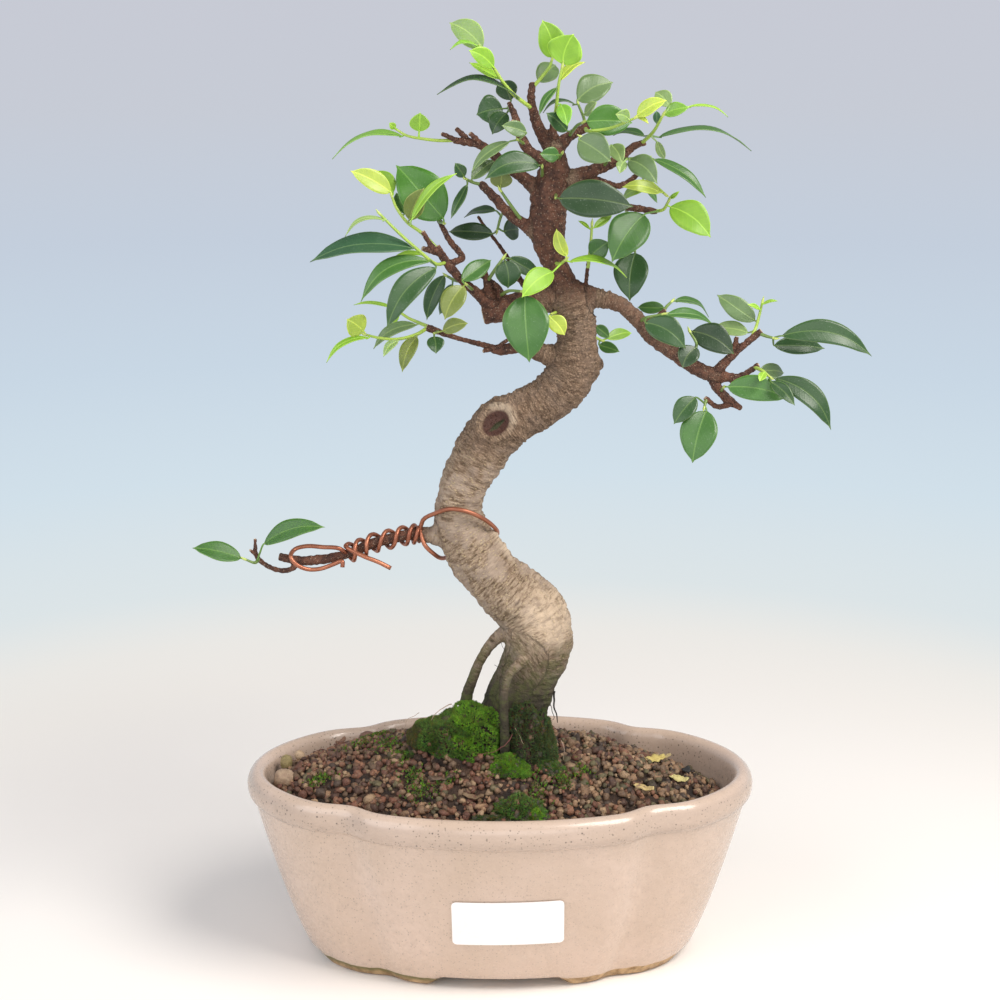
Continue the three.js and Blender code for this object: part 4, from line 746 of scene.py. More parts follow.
def strand(route, radii, corners):
    """A round strand along a route, closed at both ends."""
    path = bpy.data.curves.new("strand", "CURVE")
    path.dimensions = "3D"
    path.bevel_depth = 1
    path.bevel_resolution = corners // 4 - 1
    path.use_fill_caps = True
    line = path.splines.new("POLY")
    line.points.add(len(route) - 1)
    for knot, place, radius in zip(line.points, route, radii):
        knot.co = (*place, 1)
        knot.radius = radius
    holder = bpy.data.objects.new("strand", path)
    mesh = bpy.data.meshes.new_from_object(holder)
    bpy.data.objects.remove(holder)
    bpy.data.curves.remove(path)
    return mesh


def limb(stations, per_span=8):
    """The route and the girth of a limb through [across, up, near, radius] stations."""
    route = smooth_route([seen(*station[:3]) for station in stations], per_span)
    radii = []
    for i in range(len(route)):
        reach = i / per_span
        start = min(int(reach), len(stations) - 2)
        share = reach - start
        radii.append(stations[start][3] * (1 - share) + stations[start + 1][3] * share)
    return route, radii


def grown_together(name, limbs, voxel, smoothing):
    """Limbs joined into one skin of small even faces, with the joints rounded as they grow."""
    bm = bmesh.new()
    for stations in limbs:
        skin = strand(*limb(stations), LIMB_CORNERS)
        bm.from_mesh(skin)
        bpy.data.meshes.remove(skin)
    bmesh.ops.remove_doubles(bm, verts=bm.verts, dist=0.0005)
    holder = bpy.data.objects.new(name, mesh_of(bm, name))
    bpy.context.collection.objects.link(holder)
    skin = holder.modifiers.new("skin", "REMESH")
    skin.mode = "VOXEL"
    skin.voxel_size = voxel
    rounded = holder.modifiers.new("rounded", "SMOOTH")
    rounded.factor = 0.5
    rounded.iterations = smoothing
    mesh = bpy.data.meshes.new_from_object(holder.evaluated_get(bpy.context.evaluated_depsgraph_get()))
    bpy.data.objects.remove(holder)
    return mesh


def from_line(place, line):
    """How far a place is from a line of points."""
    nearest = 1e9
    for start, end in zip(line, line[1:]):
        span = end - start
        share = min(max((place - start).dot(span) / span.length_squared, 0), 1)
        nearest = min(nearest, (place - start - span * share).length)
    return nearest


def smooth_step(value, start, end):
    share = min(max((value - start) / (end - start), 0), 1)
    return share * share * (3 - 2 * share)


scar_line = [seen(*point) for point in SCAR]
knot_centre = seen(*KNOT)


def bark(mesh, limbs):
    """Works the skin into bark. Each corner also keeps its place on the limb as if that were straight."""
    tree = kdtree.KDTree(sum(len(limb(stations)[0]) for stations in limbs))
    samples = []
    for number, stations in enumerate(limbs):
        route, radii = limb(stations)
        gone = number * 37.0
        for i, frame_here in enumerate(frames_along(route)):
            gone += (route[i] - route[i - 1]).length if i else 0
            is_end = i == len(route) - 1 and number > 0
            tree.insert(frame_here[0], len(samples))
            samples.append((*frame_here, radii[i], gone, is_end))
    tree.balance()
    mesh.attributes.new("grown", "FLOAT_VECTOR", "POINT")
    mesh.attributes.new("marks", "FLOAT_COLOR", "POINT")
    grown, marks = mesh.attributes["grown"], mesh.attributes["marks"]
    normals = [corner.vector.copy() for corner in mesh.vertex_normals]
    for i, corner in enumerate(mesh.vertices):
        place = corner.co.copy()
        near = min(tree.find_n(place, 12), key=lambda found: found[2] / samples[found[1]][4])
        centre, side, face, along, radius, gone, is_end = samples[near[1]]
        out = place - centre
        flat = Vector((out.dot(side), out.dot(face), gone + out.dot(along)))
        young = smooth_step(place.z, 256, 271) if radius > 3.9 else smooth_step(3.6 - radius, 0, 1.2)
        if place.x < 13 and 246 < place.z < 270:
            young = 1
        if place.z < 150:
            young = 0
        cross = noise.noise(Vector((flat.x / 4.5, flat.y / 4.5, flat.z / 1.5)))
        pores = noise.noise(flat / 1.7) * smooth_step(place.z, 190, 215)
        lumps = noise.noise(place / 11) * 0.9 + noise.noise(place / 5.5) * 0.35
        size = min(radius / 8, 1)
        ringed = smooth_step(place.z, 236, 250)
        rings = noise.noise(Vector((flat.x / 9, flat.y / 9, flat.z / 0.85))) * ringed * (1 - young)
        height = cross * 0.75 * size + pores * 0.55 * size + lumps * size + rings * 0.7
        joints = young * noise.noise(Vector((0, 3, flat.z / 1.3))) * 0.14
        height += young * noise.noise(flat / 1.2) * 0.22 + joints
        pale = 0.0
        scar = from_line(place, scar_line)
        if scar < 6:
            crest = 1.5 * (1 - smooth_step(scar, 0.6, 2.2))
            height += crest - 0.7 * (1 - smooth_step(abs(scar - 2.6), 0.2, 1.1))
            height += noise.noise(place / 1.4) * 0.8 * (1 - smooth_step(scar, 1, 4))
            pale = 1 - smooth_step(scar, 0.5, 2.6)
        for stub, reach, tall in STUBS:
            height += tall * (1 - smooth_step((place - seen(*stub)).length, reach * 0.4, reach + 1.6))
        knot = 3.0
        if place.y < knot_centre.y + 5:
            apart = place - knot_centre
            long = apart.x * math.cos(KNOT_LEAN) + apart.z * math.sin(KNOT_LEAN)
            short = apart.z * math.cos(KNOT_LEAN) - apart.x * math.sin(KNOT_LEAN)
            knot = math.hypot(long / (KNOT_RADIUS * 1.18), short / (KNOT_RADIUS * 0.88))
            slit = math.hypot(long / 3.6, (short + 0.6) / 1.1)
            rim = math.exp(-(((knot - 1.3) / 0.28) ** 2))
            height = height * smooth_step(knot, 0.75, 1.3) + rim * 1.5
            height -= 1.3 * (1 - smooth_step(knot, 0.55, 1.05)) + 1.1 * (1 - smooth_step(slit, 0.6, 1.1))
            # The knot's rim is painted paler on its upper right side, a painted highlight where the key light
            # falls; the pale along the scar's crest is the callus's own colour.
            faces_key_light = apart.x > -2 and apart.z > 0
            pale = max(pale, rim * (0.9 if faces_key_light else 0.4) * smooth_step(apart.z + apart.x, 0, 5))
            if slit < 1.2:
                knot = slit * 0.2
        corner.co = place + normals[i] * height
        grown.data[i].vector = flat
        cut = 1.0 if is_end and out.dot(along) > -0.15 else 0.0
        marks.data[i].color = (min(knot / 3, 1), pale, young, cut)


# The sawn limb's own stump is as thick as the trunk, so it and the foot of each thick branch grow with it.
fine_limbs = [*CROWN_BRANCHES, *SAWN_LIMB[1:], *RIGHT_BRANCH, *WIRED_BRANCH]
thick_starts = [branch[:3] for branch in fine_limbs if branch[0][3] > 2.5 and branch[1][3] < 4.5]
trunk_limbs = [TRUNK, *ROOTS, *thick_starts, SAWN_LIMB[0]]
trunk_mesh = grown_together("trunk_wood", trunk_limbs, 0.68, 3)
bark(trunk_mesh, trunk_limbs)
twig_mesh = grown_together("branches_wood", fine_limbs, 0.42, 3)
no_trunk = [(0, 0, 0, 0.1), (1, 0, 0, 0.1)]
bark(twig_mesh, [no_trunk, *fine_limbs])

rind = Finish("fig_bark", roughness=0.8)
limb_place = rind.node("ShaderNodeAttribute", {"attribute_name": "grown"}, {}, "Vector")
wood_marks = rind.node("ShaderNodeAttribute", {"attribute_name": "marks"}, {}, "Color")
wood_cut = rind.node("ShaderNodeAttribute", {"attribute_name": "marks"}, {}, "Alpha")
knot_reach = rind.height(wood_marks, "X") * 3
pale_callus_and_knot_highlight = rind.height(wood_marks, "Y")
wood_young = rind.height(wood_marks, "Z")
rind_place = rind.place()
rind_height = rind.height(rind_place)


def stretched(finish, where, across, along):
    """A limb's own place, squeezed so that a pattern reaches further across the limb than along it."""
    scale = (1 / across, 1 / across, 1 / along)
    return finish.node("ShaderNodeVectorMath", {"operation": "MULTIPLY"}, {0: where, 1: scale})


ridges = rind.noise(stretched(rind, limb_place, 3.4, 0.85), 1, 5, 0.62, 0.4)
dashes = 1 - rind.cells(stretched(rind, limb_place, 1.9, 1.15), 1).rise(0.16, 0.36)
grit = rind.noise(limb_place, 0.55, 4, 0.7)
patches = rind.noise(rind_place, 13, 4, 0.6)
bark_colour = rind.ramp(ridges * 0.75 + grit * 0.25, [
    (0.33, (0.03, 0.018, 0.009)), (0.43, (0.17, 0.11, 0.065)), (0.54, (0.34, 0.245, 0.165)),
    (0.68, (0.50, 0.38, 0.27)),
])
smooth_patch = rind.noise(rind_place, 9, 3, 0.55).rise(0.47, 0.6)
bark_colour = rind.mix(smooth_patch * 0.6, bark_colour, (0.41, 0.315, 0.245))
bark_colour = rind.mix(dashes * 0.6, bark_colour, (0.54, 0.41, 0.24))
bark_colour = rind.mix(patches.rise(0.52, 0.72) * 0.45, bark_colour, (0.15, 0.085, 0.05))
# A painted highlight: a pale patch on the trunk's elbow, where the key light from the upper right falls.
# Algae is kept off it.
elbow_painted_highlight = 1 - rind.from_point(rind_place, (19, -14, 143)).rise(5, 19)
bark_colour = rind.mix(elbow_painted_highlight * (ridges.rise(0.35, 0.6) * 0.5 + 0.25), bark_colour, (0.66, 0.50, 0.35))
upper = rind_height.rise(192, 214)
upper_colour = rind.ramp(grit * 0.5 + ridges * 0.5, [
    (0.33, (0.02, 0.011, 0.007)), (0.46, (0.10, 0.056, 0.032)), (0.58, (0.22, 0.135, 0.082)),
    (0.72, (0.45, 0.31, 0.205)),
])
pebbly = 1 - rind.cells(stretched(rind, limb_place, 1.5, 1.05), 1).rise(0.2, 0.42)
upper_colour = rind.mix(pebbly * 0.5, upper_colour, (0.46, 0.31, 0.20))
bark_colour = rind.mix(upper * 0.75, bark_colour, upper_colour)
damp = (1 - rind_height.rise(106, 137)) * (patches * 0.5 + 0.85)
bark_colour = rind.mix(damp * 0.86, bark_colour, (0.022, 0.018, 0.008))
algae = (1 - rind_height.rise(108, 156)) * rind.noise(rind_place, 5, 5, 0.7).rise(0.42, 0.62) * (1 - elbow_painted_highlight)
bark_colour = rind.mix(algae * 0.6, bark_colour, (0.085, 0.10, 0.022))
young_tone = rind.noise(limb_place, 2.4, 4, 0.65)
young_colour = rind.mix(young_tone.rise(0.3, 0.7), (0.045, 0.016, 0.009), (0.165, 0.064, 0.034))
young_dots = 1 - rind.cells(stretched(rind, limb_place, 1.0, 1.2), 1).rise(0.17, 0.3)
young_colour = rind.mix(young_dots * 0.7, young_colour, (0.38, 0.25, 0.17))
bark_colour = rind.mix(wood_young, bark_colour, young_colour)
# Paler along the scar's callus, its own colour, and on the knot's upper right rim, a painted highlight.
bark_colour = rind.mix(pale_callus_and_knot_highlight * (ridges.rise(0.3, 0.55) * 0.6 + 0.1), bark_colour, (0.60, 0.47, 0.34))
heart = 1 - knot_reach.rise(0.9, 1.06)
heart_colour = rind.mix(grit, (0.02, 0.007, 0.004), (0.11, 0.036, 0.02))
bark_colour = rind.mix(heart, bark_colour, heart_colour)
slit_colour = rind.mix(grit, (0.012, 0.012, 0.004), (0.085, 0.085, 0.03))
bark_colour = rind.mix(1 - knot_reach.rise(0.15, 0.26), bark_colour, slit_colour)
cut_colour = rind.mix(grit, (0.40, 0.26, 0.15), (0.68, 0.50, 0.33))
bark_colour = rind.mix(wood_cut, bark_colour, cut_colour)
relief = ridges * 0.8 + grit * 0.45 + dashes * (1 - wood_young) * 0.3
relief = relief + young_dots * wood_young * 0.35 + pebbly * upper * 0.4
rind.end(bark_colour, 0.92 - wood_young * 0.22 - heart * 0.25, relief, 0.8)
for name, mesh in (("trunk_wood", trunk_mesh), ("branches_wood", twig_mesh)):
    piece = set_down(name, mesh, rind.material)
    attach(piece, "root")
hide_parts("trunk")

# ---- the training wire ----
# One length of soft brown anodised wire, doubled: two strands wind along the low branch, loop once round the
# trunk and end in a hairpin past the branch's fork. It is bent by hand, so no two turns are quite alike.
WIRE_RADIUS = 0.85
COIL_RADIUS = 3.35
COIL_TURNS = 3
COIL_STEPS = 48
WIRED_AXIS = [
    (-31, 171.5, 0), (-34, 171.5, 0), (-40, 170, 0), (-47, 168.5, 0), (-53, 166, 0), (-58, 164.1, 0),
]
WIRE_INNER_END = [(-42, 158, 5), (-47, 160.6, 5), (-52, 162.6, 4.6)]
WIRE_ROUND_TRUNK = [
    (-29, 167.5, 4), (-25.5, 163.8, 3), (-22.5, 162, -2), (-19, 163, -9), (-12, 166, -12.6), (-4, 169.5, -8),
    (-1, 171.8, -1), (-2.5, 174.6, 5), (-7, 178, 9.6), (-13, 180.6, 11.6), (-19, 181.4, 10.8),
    (-24.5, 179.8, 7), (-29.5, 177, 3.6),
]
WIRE_HAIRPIN = [
    (-61.5, 165.8, 3), (-68, 166.4, 1.5), (-74, 166.8, 0.5), (-78.6, 165.6, 0), (-80.4, 162.6, 4),
    (-78.4, 159.6, 4.6), (-74, 157.6, 3.6), (-69, 157.8, 3), (-64, 159.6, 3.6), (-60.6, 160.8, 4),
    (-60.6, 158.4, 4.4),
]


def coil(phase):
    """One strand's turns round the branch, from the trunk outwards."""
    axis = smooth_route([seen(*point) for point in WIRED_AXIS], 40)
    turns = []
    for i in range(COIL_STEPS + 1):
        centre, side, face, along = frames_along(axis)[round(i / COIL_STEPS * (len(axis) - 1))]
        turn = phase + i / COIL_STEPS * COIL_TURNS * 2 * math.pi
        turns.append(centre + side * COIL_RADIUS * math.cos(turn) + face * COIL_RADIUS * math.sin(turn))
    return turns


wire_points = [seen(*point) for point in WIRE_INNER_END] + coil(0.4)[::-1]
wire_points += [seen(*point) for point in WIRE_ROUND_TRUNK] + coil(0.4 + math.pi)
wire_points += [seen(*point) for point in WIRE_HAIRPIN]
wire_route = smooth_route(wire_points, 4)
bm = bmesh.new()
bm.from_mesh(strand(wire_route, [WIRE_RADIUS] * len(wire_route), 16))
bmesh.ops.remove_doubles(bm, verts=bm.verts, dist=0.001)
anodised = Finish("brown_anodised", metallic=0.75, roughness=0.38)
scuffs = anodised.noise(anodised.place(), 1.8, 5, 0.7)
wire_tone = anodised.noise(anodised.place(), 9, 3)
wire_colour = anodised.mix(wire_tone.rise(0.3, 0.7), (0.30, 0.105, 0.06), (0.47, 0.185, 0.105))
wire_colour = anodised.mix(scuffs.rise(0.62, 0.78) * 0.6, wire_colour, (0.72, 0.42, 0.30))
anodised.end(wire_colour, scuffs * 0.35 + 0.22, scuffs, 0.06)
wire = set_down("wire", mesh_of(bm, "wire"), anodised.material)
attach(wire, "root")
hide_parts("training_wire")

# ---- the moss ----
# Cushion moss grows over the tree's foot: bright on the mound and dark olive on the trunk's own foot, with a
# patch behind the front lip. Under it lies dark crumb, and tiny sprigs have spread over the granules.
# A cushion is its middle, its size and its two tones; a sprig stands where its cushion's skin faces out.
MOSS_TONES = {
    "bright": ((0.07, 0.19, 0.008), (0.19, 0.42, 0.02)), "dark": ((0.02, 0.05, 0.012), (0.07, 0.13, 0.028)),
    "brown": ((0.05, 0.06, 0.015), (0.10, 0.13, 0.025)), "mid": ((0.04, 0.11, 0.012), (0.11, 0.24, 0.03)),
}
CUSHIONS = {
    "moss_mound": [
        ((-11, -9, 88), (27, 28, 33), "bright"), ((-20, -10, 90), (26, 26, 23), "mid"),
        ((-29, -8, 91), (13, 20, 13), "brown"), ((-16, -17, 82), (36, 22, 19), "crumb"),
    ],
    "moss_foot": [
        ((10, -13, 88), (18, 22, 38), "dark"), ((15, -12, 86), (13, 20, 28), "dark"),
        ((4, -23, 84), (15, 11, 12), "bright"), ((19, -20, 82), (10, 9, 9), "mid"),
    ],
    "moss_front": [
        ((7, -40, 75), (17, 15, 10), "mid"), ((12, -43, 73), (11, 10, 8), "bright"),
        ((-3, -46, 72), (18, 6, 6), "dark"),
    ],
}
SPRIGS_PER_AREA = 3.2
AREA_PER_CLOD = 9
random.seed(23)

leafy = Finish("cushion_moss", roughness=0.85, subsurface_weight=0.15, subsurface_scale=0.001)
leafy_tone = leafy.node("ShaderNodeAttribute", {"attribute_name": "tone"}, {}, "Color")
leafy_place = leafy.place()
leafy_patch = leafy.noise(leafy_place, 3.2, 4, 0.6)
leafy_colour = leafy.mix(leafy_patch.rise(0.4, 0.62) * 0.55, leafy_tone, (0.035, 0.05, 0.01))
leafy.end(leafy_colour, leafy_patch * 0.2 + 0.7, leafy.noise(leafy_place, 0.5, 3), 0.2)

sprig_shapes = []
for i in range(6):
    bm = bmesh.new()
    for leaflet in range(4):
        lean = Matrix.Rotation(random.uniform(0.2, 0.75), 4, "X")
        spin = Matrix.Rotation(leaflet * 1.57 + random.uniform(-0.5, 0.5), 4, "Z")
        lifted = spin @ lean @ Matrix.Translation((0, 0, 0.5))
        sizes = {"radius1": 0.2, "radius2": 0.02, "depth": random.uniform(0.8, 1.2)}
        bmesh.ops.create_cone(bm, cap_ends=False, segments=3, matrix=lifted, **sizes)
    sprig_shapes.append(toned(bm, "sprig"))


def lump_at(way, middle):
    """How far a cushion swells in one direction, as a share of its plain round size."""
    return 1 + noise.noise(way * 2.2 + Vector(middle) / 9) * 0.34


def on_cushion(middle, size):
    """A random place on a lumpy cushion, and the way that its skin faces there."""
    way = Vector((random.gauss(0, 1), random.gauss(0, 1), abs(random.gauss(0, 1)))).normalized()
    reach = Vector(a * b / 2 for a, b in zip(way, size)) * lump_at(way, middle)
    out = Vector(a / b for a, b in zip(reach, size)).normalized()
    return Vector(middle) + reach, out


def stand(spot, out, size, shades):
    """Where a sprig stands, and its own shade of its cushion's two tones."""
    turn = out.to_track_quat("Z", "Y").to_matrix().to_4x4() @ Matrix.Rotation(random.random() * 6.3, 4, "Z")
    shade = Vector(shades[0]).lerp(Vector(shades[1]), random.random())
    return Matrix.Translation(spot) @ turn @ Matrix.Scale(size * random.uniform(0.7, 1.4), 4), shade


def lay_sprig(cushions):
    middle, size, tone = random.choice(cushions)
    spot, out = on_cushion(middle, size)
    if tone == "crumb" or spot.z < soil_at(spot.x, spot.y) - 1:
        return None
    return stand(spot, out, 1.0 if tone == "bright" else 0.85, MOSS_TONES[tone])


def lay_clod(cushions):
    """Red-brown granules stuck on the earthy side of a cushion, and dark crumb under its sprigs."""
    middle, size, tone = random.choice(cushions)
    spot, out = on_cushion(middle, Vector(size) * (1 if tone == "crumb" else 0.9))
    if tone != "crumb" and random.random() < 0.8:
        return Matrix.Translation(spot) @ any_turn() @ Matrix.Scale(1.3, 4), Vector((0.03, 0.028, 0.012))
    shade = Vector(random.choice(GRAIN_COLOURS[:6])) * random.uniform(0.5, 1.1)
    return Matrix.Translation(spot) @ any_turn() @ Matrix.Scale(random.uniform(0.8, 1.6), 4), shade


for name, cushions in CUSHIONS.items():
    area = sum(size[0] * size[1] + size[2] * (size[0] + size[1]) for middle, size, tone in cushions)
    bm = bmesh.new()
    for middle, size, tone in cushions:
        for corner in bmesh.ops.create_icosphere(bm, subdivisions=5, radius=1)["verts"]:
            lump = lump_at(corner.co, middle)
            corner.co = Vector(middle) + Vector(a * b / 2 for a, b in zip(corner.co, size)) * lump * 0.93
    core = set_down(name + "_core", mesh_of(bm, name), crumb.material)
    sprig_mesh = strewn(name, sprig_shapes, int(area * SPRIGS_PER_AREA), lay_sprig, cushions)
    sprigs = set_down(name + "_sprigs", sprig_mesh, leafy.material)
    clod_mesh = strewn(name, grain_shapes, int(area / AREA_PER_CLOD), lay_clod, cushions)
    clods = set_down(name + "_clods", clod_mesh, granule.material)
    for piece in (core, sprigs, clods):
        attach(piece, "root")
    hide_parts(name)


def lay_spread_sprig():
    """A stray sprig in the clusters of moss that have taken hold among the granules."""
    at, reach = random.choice(SPREAD)
    spot = Vector((random.gauss(at[0], reach), random.gauss(at[1], reach), 0))
    spot.z = soil_at(spot.x, spot.y) + random.uniform(-0.4, 0.8)
    return stand(spot, Vector((0, -0.3, 1)), 0.9, MOSS_TONES[random.choice(("bright", "mid", "brown"))])


SPREAD = [
    ((-56, 5), 3), ((-44, -2), 4), ((-38, -14), 2.5), ((-33, -24), 2), ((-20, -28), 2), ((-70, -16), 2),
    ((24, -27), 2), ((31, -20), 2), ((-30, -34), 3), ((14, -33), 3), ((-50, 14), 3), ((8, -22), 3),
]
SPREAD_SPRIGS = 1500
spread_mesh = strewn("moss_spread", sprig_shapes, SPREAD_SPRIGS, lay_spread_sprig)
spread = set_down("moss_spread", spread_mesh, leafy.material)
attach(spread, "root")

# ---- the rootlets and scraps ----
# Hair-fine roots hang over the moss and out of the bark, thick ones near black, thin ones pale. Fallen leaves
# and bark lie on the granules at the right: yellow, orange and dark red, curled up as they dried.
ROOTLETS = [
    ([(-19, 103, 6), (-22, 101, 9), (-26, 98, 11), (-28, 94, 12)], 0.28, "pale"),
    ([(-32, 99, 4), (-36, 97, 5), (-38, 92, 5), (-40, 88, 4)], 0.14, "pale"),
    ([(-28, 88, 14), (-31, 83, 17), (-32, 80, 18)], 0.3, "pale"),
    ([(5, 91, 20), (2, 86, 24), (-3, 83, 26), (-8, 82, 27)], 0.3, "red"),
    ([(6, 93, 20), (8, 89, 23), (9, 87, 25)], 0.25, "pale"),
    ([(21, 108, 5), (21.5, 102, 6), (22, 98, 6), (22.6, 95, 6)], 0.55, "black"),
    ([(18.6, 105, 5), (20.4, 101, 7), (21, 98, 7), (19.4, 96, 7)], 0.3, "black"),
    ([(24, 88, 22), (25.5, 84, 24), (25, 80, 25)], 0.2, "pale"),
    ([(0, 128, 8), (1.5, 125, 9), (3.6, 122, 9)], 0.12, "black"),
    ([(-2, 119, 8), (0.6, 118, 9), (3, 120, 9)], 0.12, "black"),
]
ROOTLET_TONES = {"pale": (0.42, 0.31, 0.22), "red": (0.16, 0.05, 0.04), "black": (0.025, 0.02, 0.016)}
SCRAPS = [
    ((61, 2), (9, 4), 25, (0.62, 0.5, 0.16)), ((70, -8), (8, 3.4), -38, (0.66, 0.58, 0.24)),
    ((55, -22), (9, 2.6), -35, (0.6, 0.46, 0.2)), ((11, -40), (5, 3), 15, (0.52, 0.2, 0.03)),
    ((19, -43), (10, 2), 80, (0.11, 0.03, 0.022)), ((74, 4), (5, 3), 60, (0.02, 0.02, 0.02)),
    ((-65, 22), (7, 2.2), 65, (0.24, 0.13, 0.08)), ((-10, -38), (8, 2.2), -12, (0.2, 0.13, 0.07)),
    ((66, 14), (6, 2.4), 10, (0.52, 0.42, 0.2)), ((-22, -30), (9, 2), 25, (0.13, 0.085, 0.055)),
]

parts = []
noise.seed_set(41)
for spots, radius, tone in ROOTLETS:
    route = smooth_route([seen(*spot) for spot in spots], 6)
    for spot in route:
        spot += noise.noise_vector(spot / 3) * 0.9
    radii = [radius * (0.75 - 0.5 * i / len(route)) for i in range(len(route))]
    hair = strand(route, radii, 8)
    hair.attributes.new("tone", "FLOAT_COLOR", "POINT")
    hair.attributes["tone"].data.foreach_set("color", (*ROOTLET_TONES[tone], 1) * len(hair.vertices))
    parts.append(hair)
for number, ((across, back), (length, width), turn, tone) in enumerate(SCRAPS):
    bm = bmesh.new()
    bmesh.ops.create_grid(bm, x_segments=12, y_segments=4, size=0.5)
    for corner in bm.verts:
        u, v = corner.co.x * 2, corner.co.y
        curl = 0.9 * u * u + noise.noise(Vector((u * 2, v * 2, number))) * 1.1
        ragged = 1 + noise.noise(Vector((u * 3, number, 0))) * 0.5
        corner.co = Vector((u * length / 2, v * width * ragged * (1 - 0.55 * u * u), curl))
    bmesh.ops.recalc_face_normals(bm, faces=bm.faces)
    bmesh.ops.solidify(bm, geom=bm.faces[:], thickness=0.3)
    resting = Vector((across, back, soil_at(across, back) + 1.4))
    lie = Matrix.Translation(resting) @ Matrix.Rotation(math.radians(turn), 4, "Z")
    bmesh.ops.transform(bm, matrix=lie @ Matrix.Rotation(0.25, 4, "X"), verts=bm.verts)
    scrap = toned(bm, "scrap")
    scrap.attributes["tone"].data.foreach_set("color", (*tone, 1) * len(scrap.vertices))
    parts.append(scrap)
bm = bmesh.new()
for part in parts:
    bm.from_mesh(part)
litter = Finish("dry_scraps", roughness=0.7)
litter_tone = litter.node("ShaderNodeAttribute", {"attribute_name": "tone"}, {}, "Color")
litter_fibre = litter.noise(litter.place(), 0.9, 4, 0.65)
litter_dark = litter.mix(1.0, litter_tone, (0.5, 0.42, 0.4), "MULTIPLY")
litter_colour = litter.mix(litter_fibre.rise(0.3, 0.7) * 0.6, litter_tone, litter_dark)
litter.end(litter_colour, litter_fibre * 0.3 + 0.5, litter_fibre, 0.2)
scraps = set_down("scraps_and_rootlets", mesh_of(bm, "scraps"), litter.material)
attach(scraps, "root")

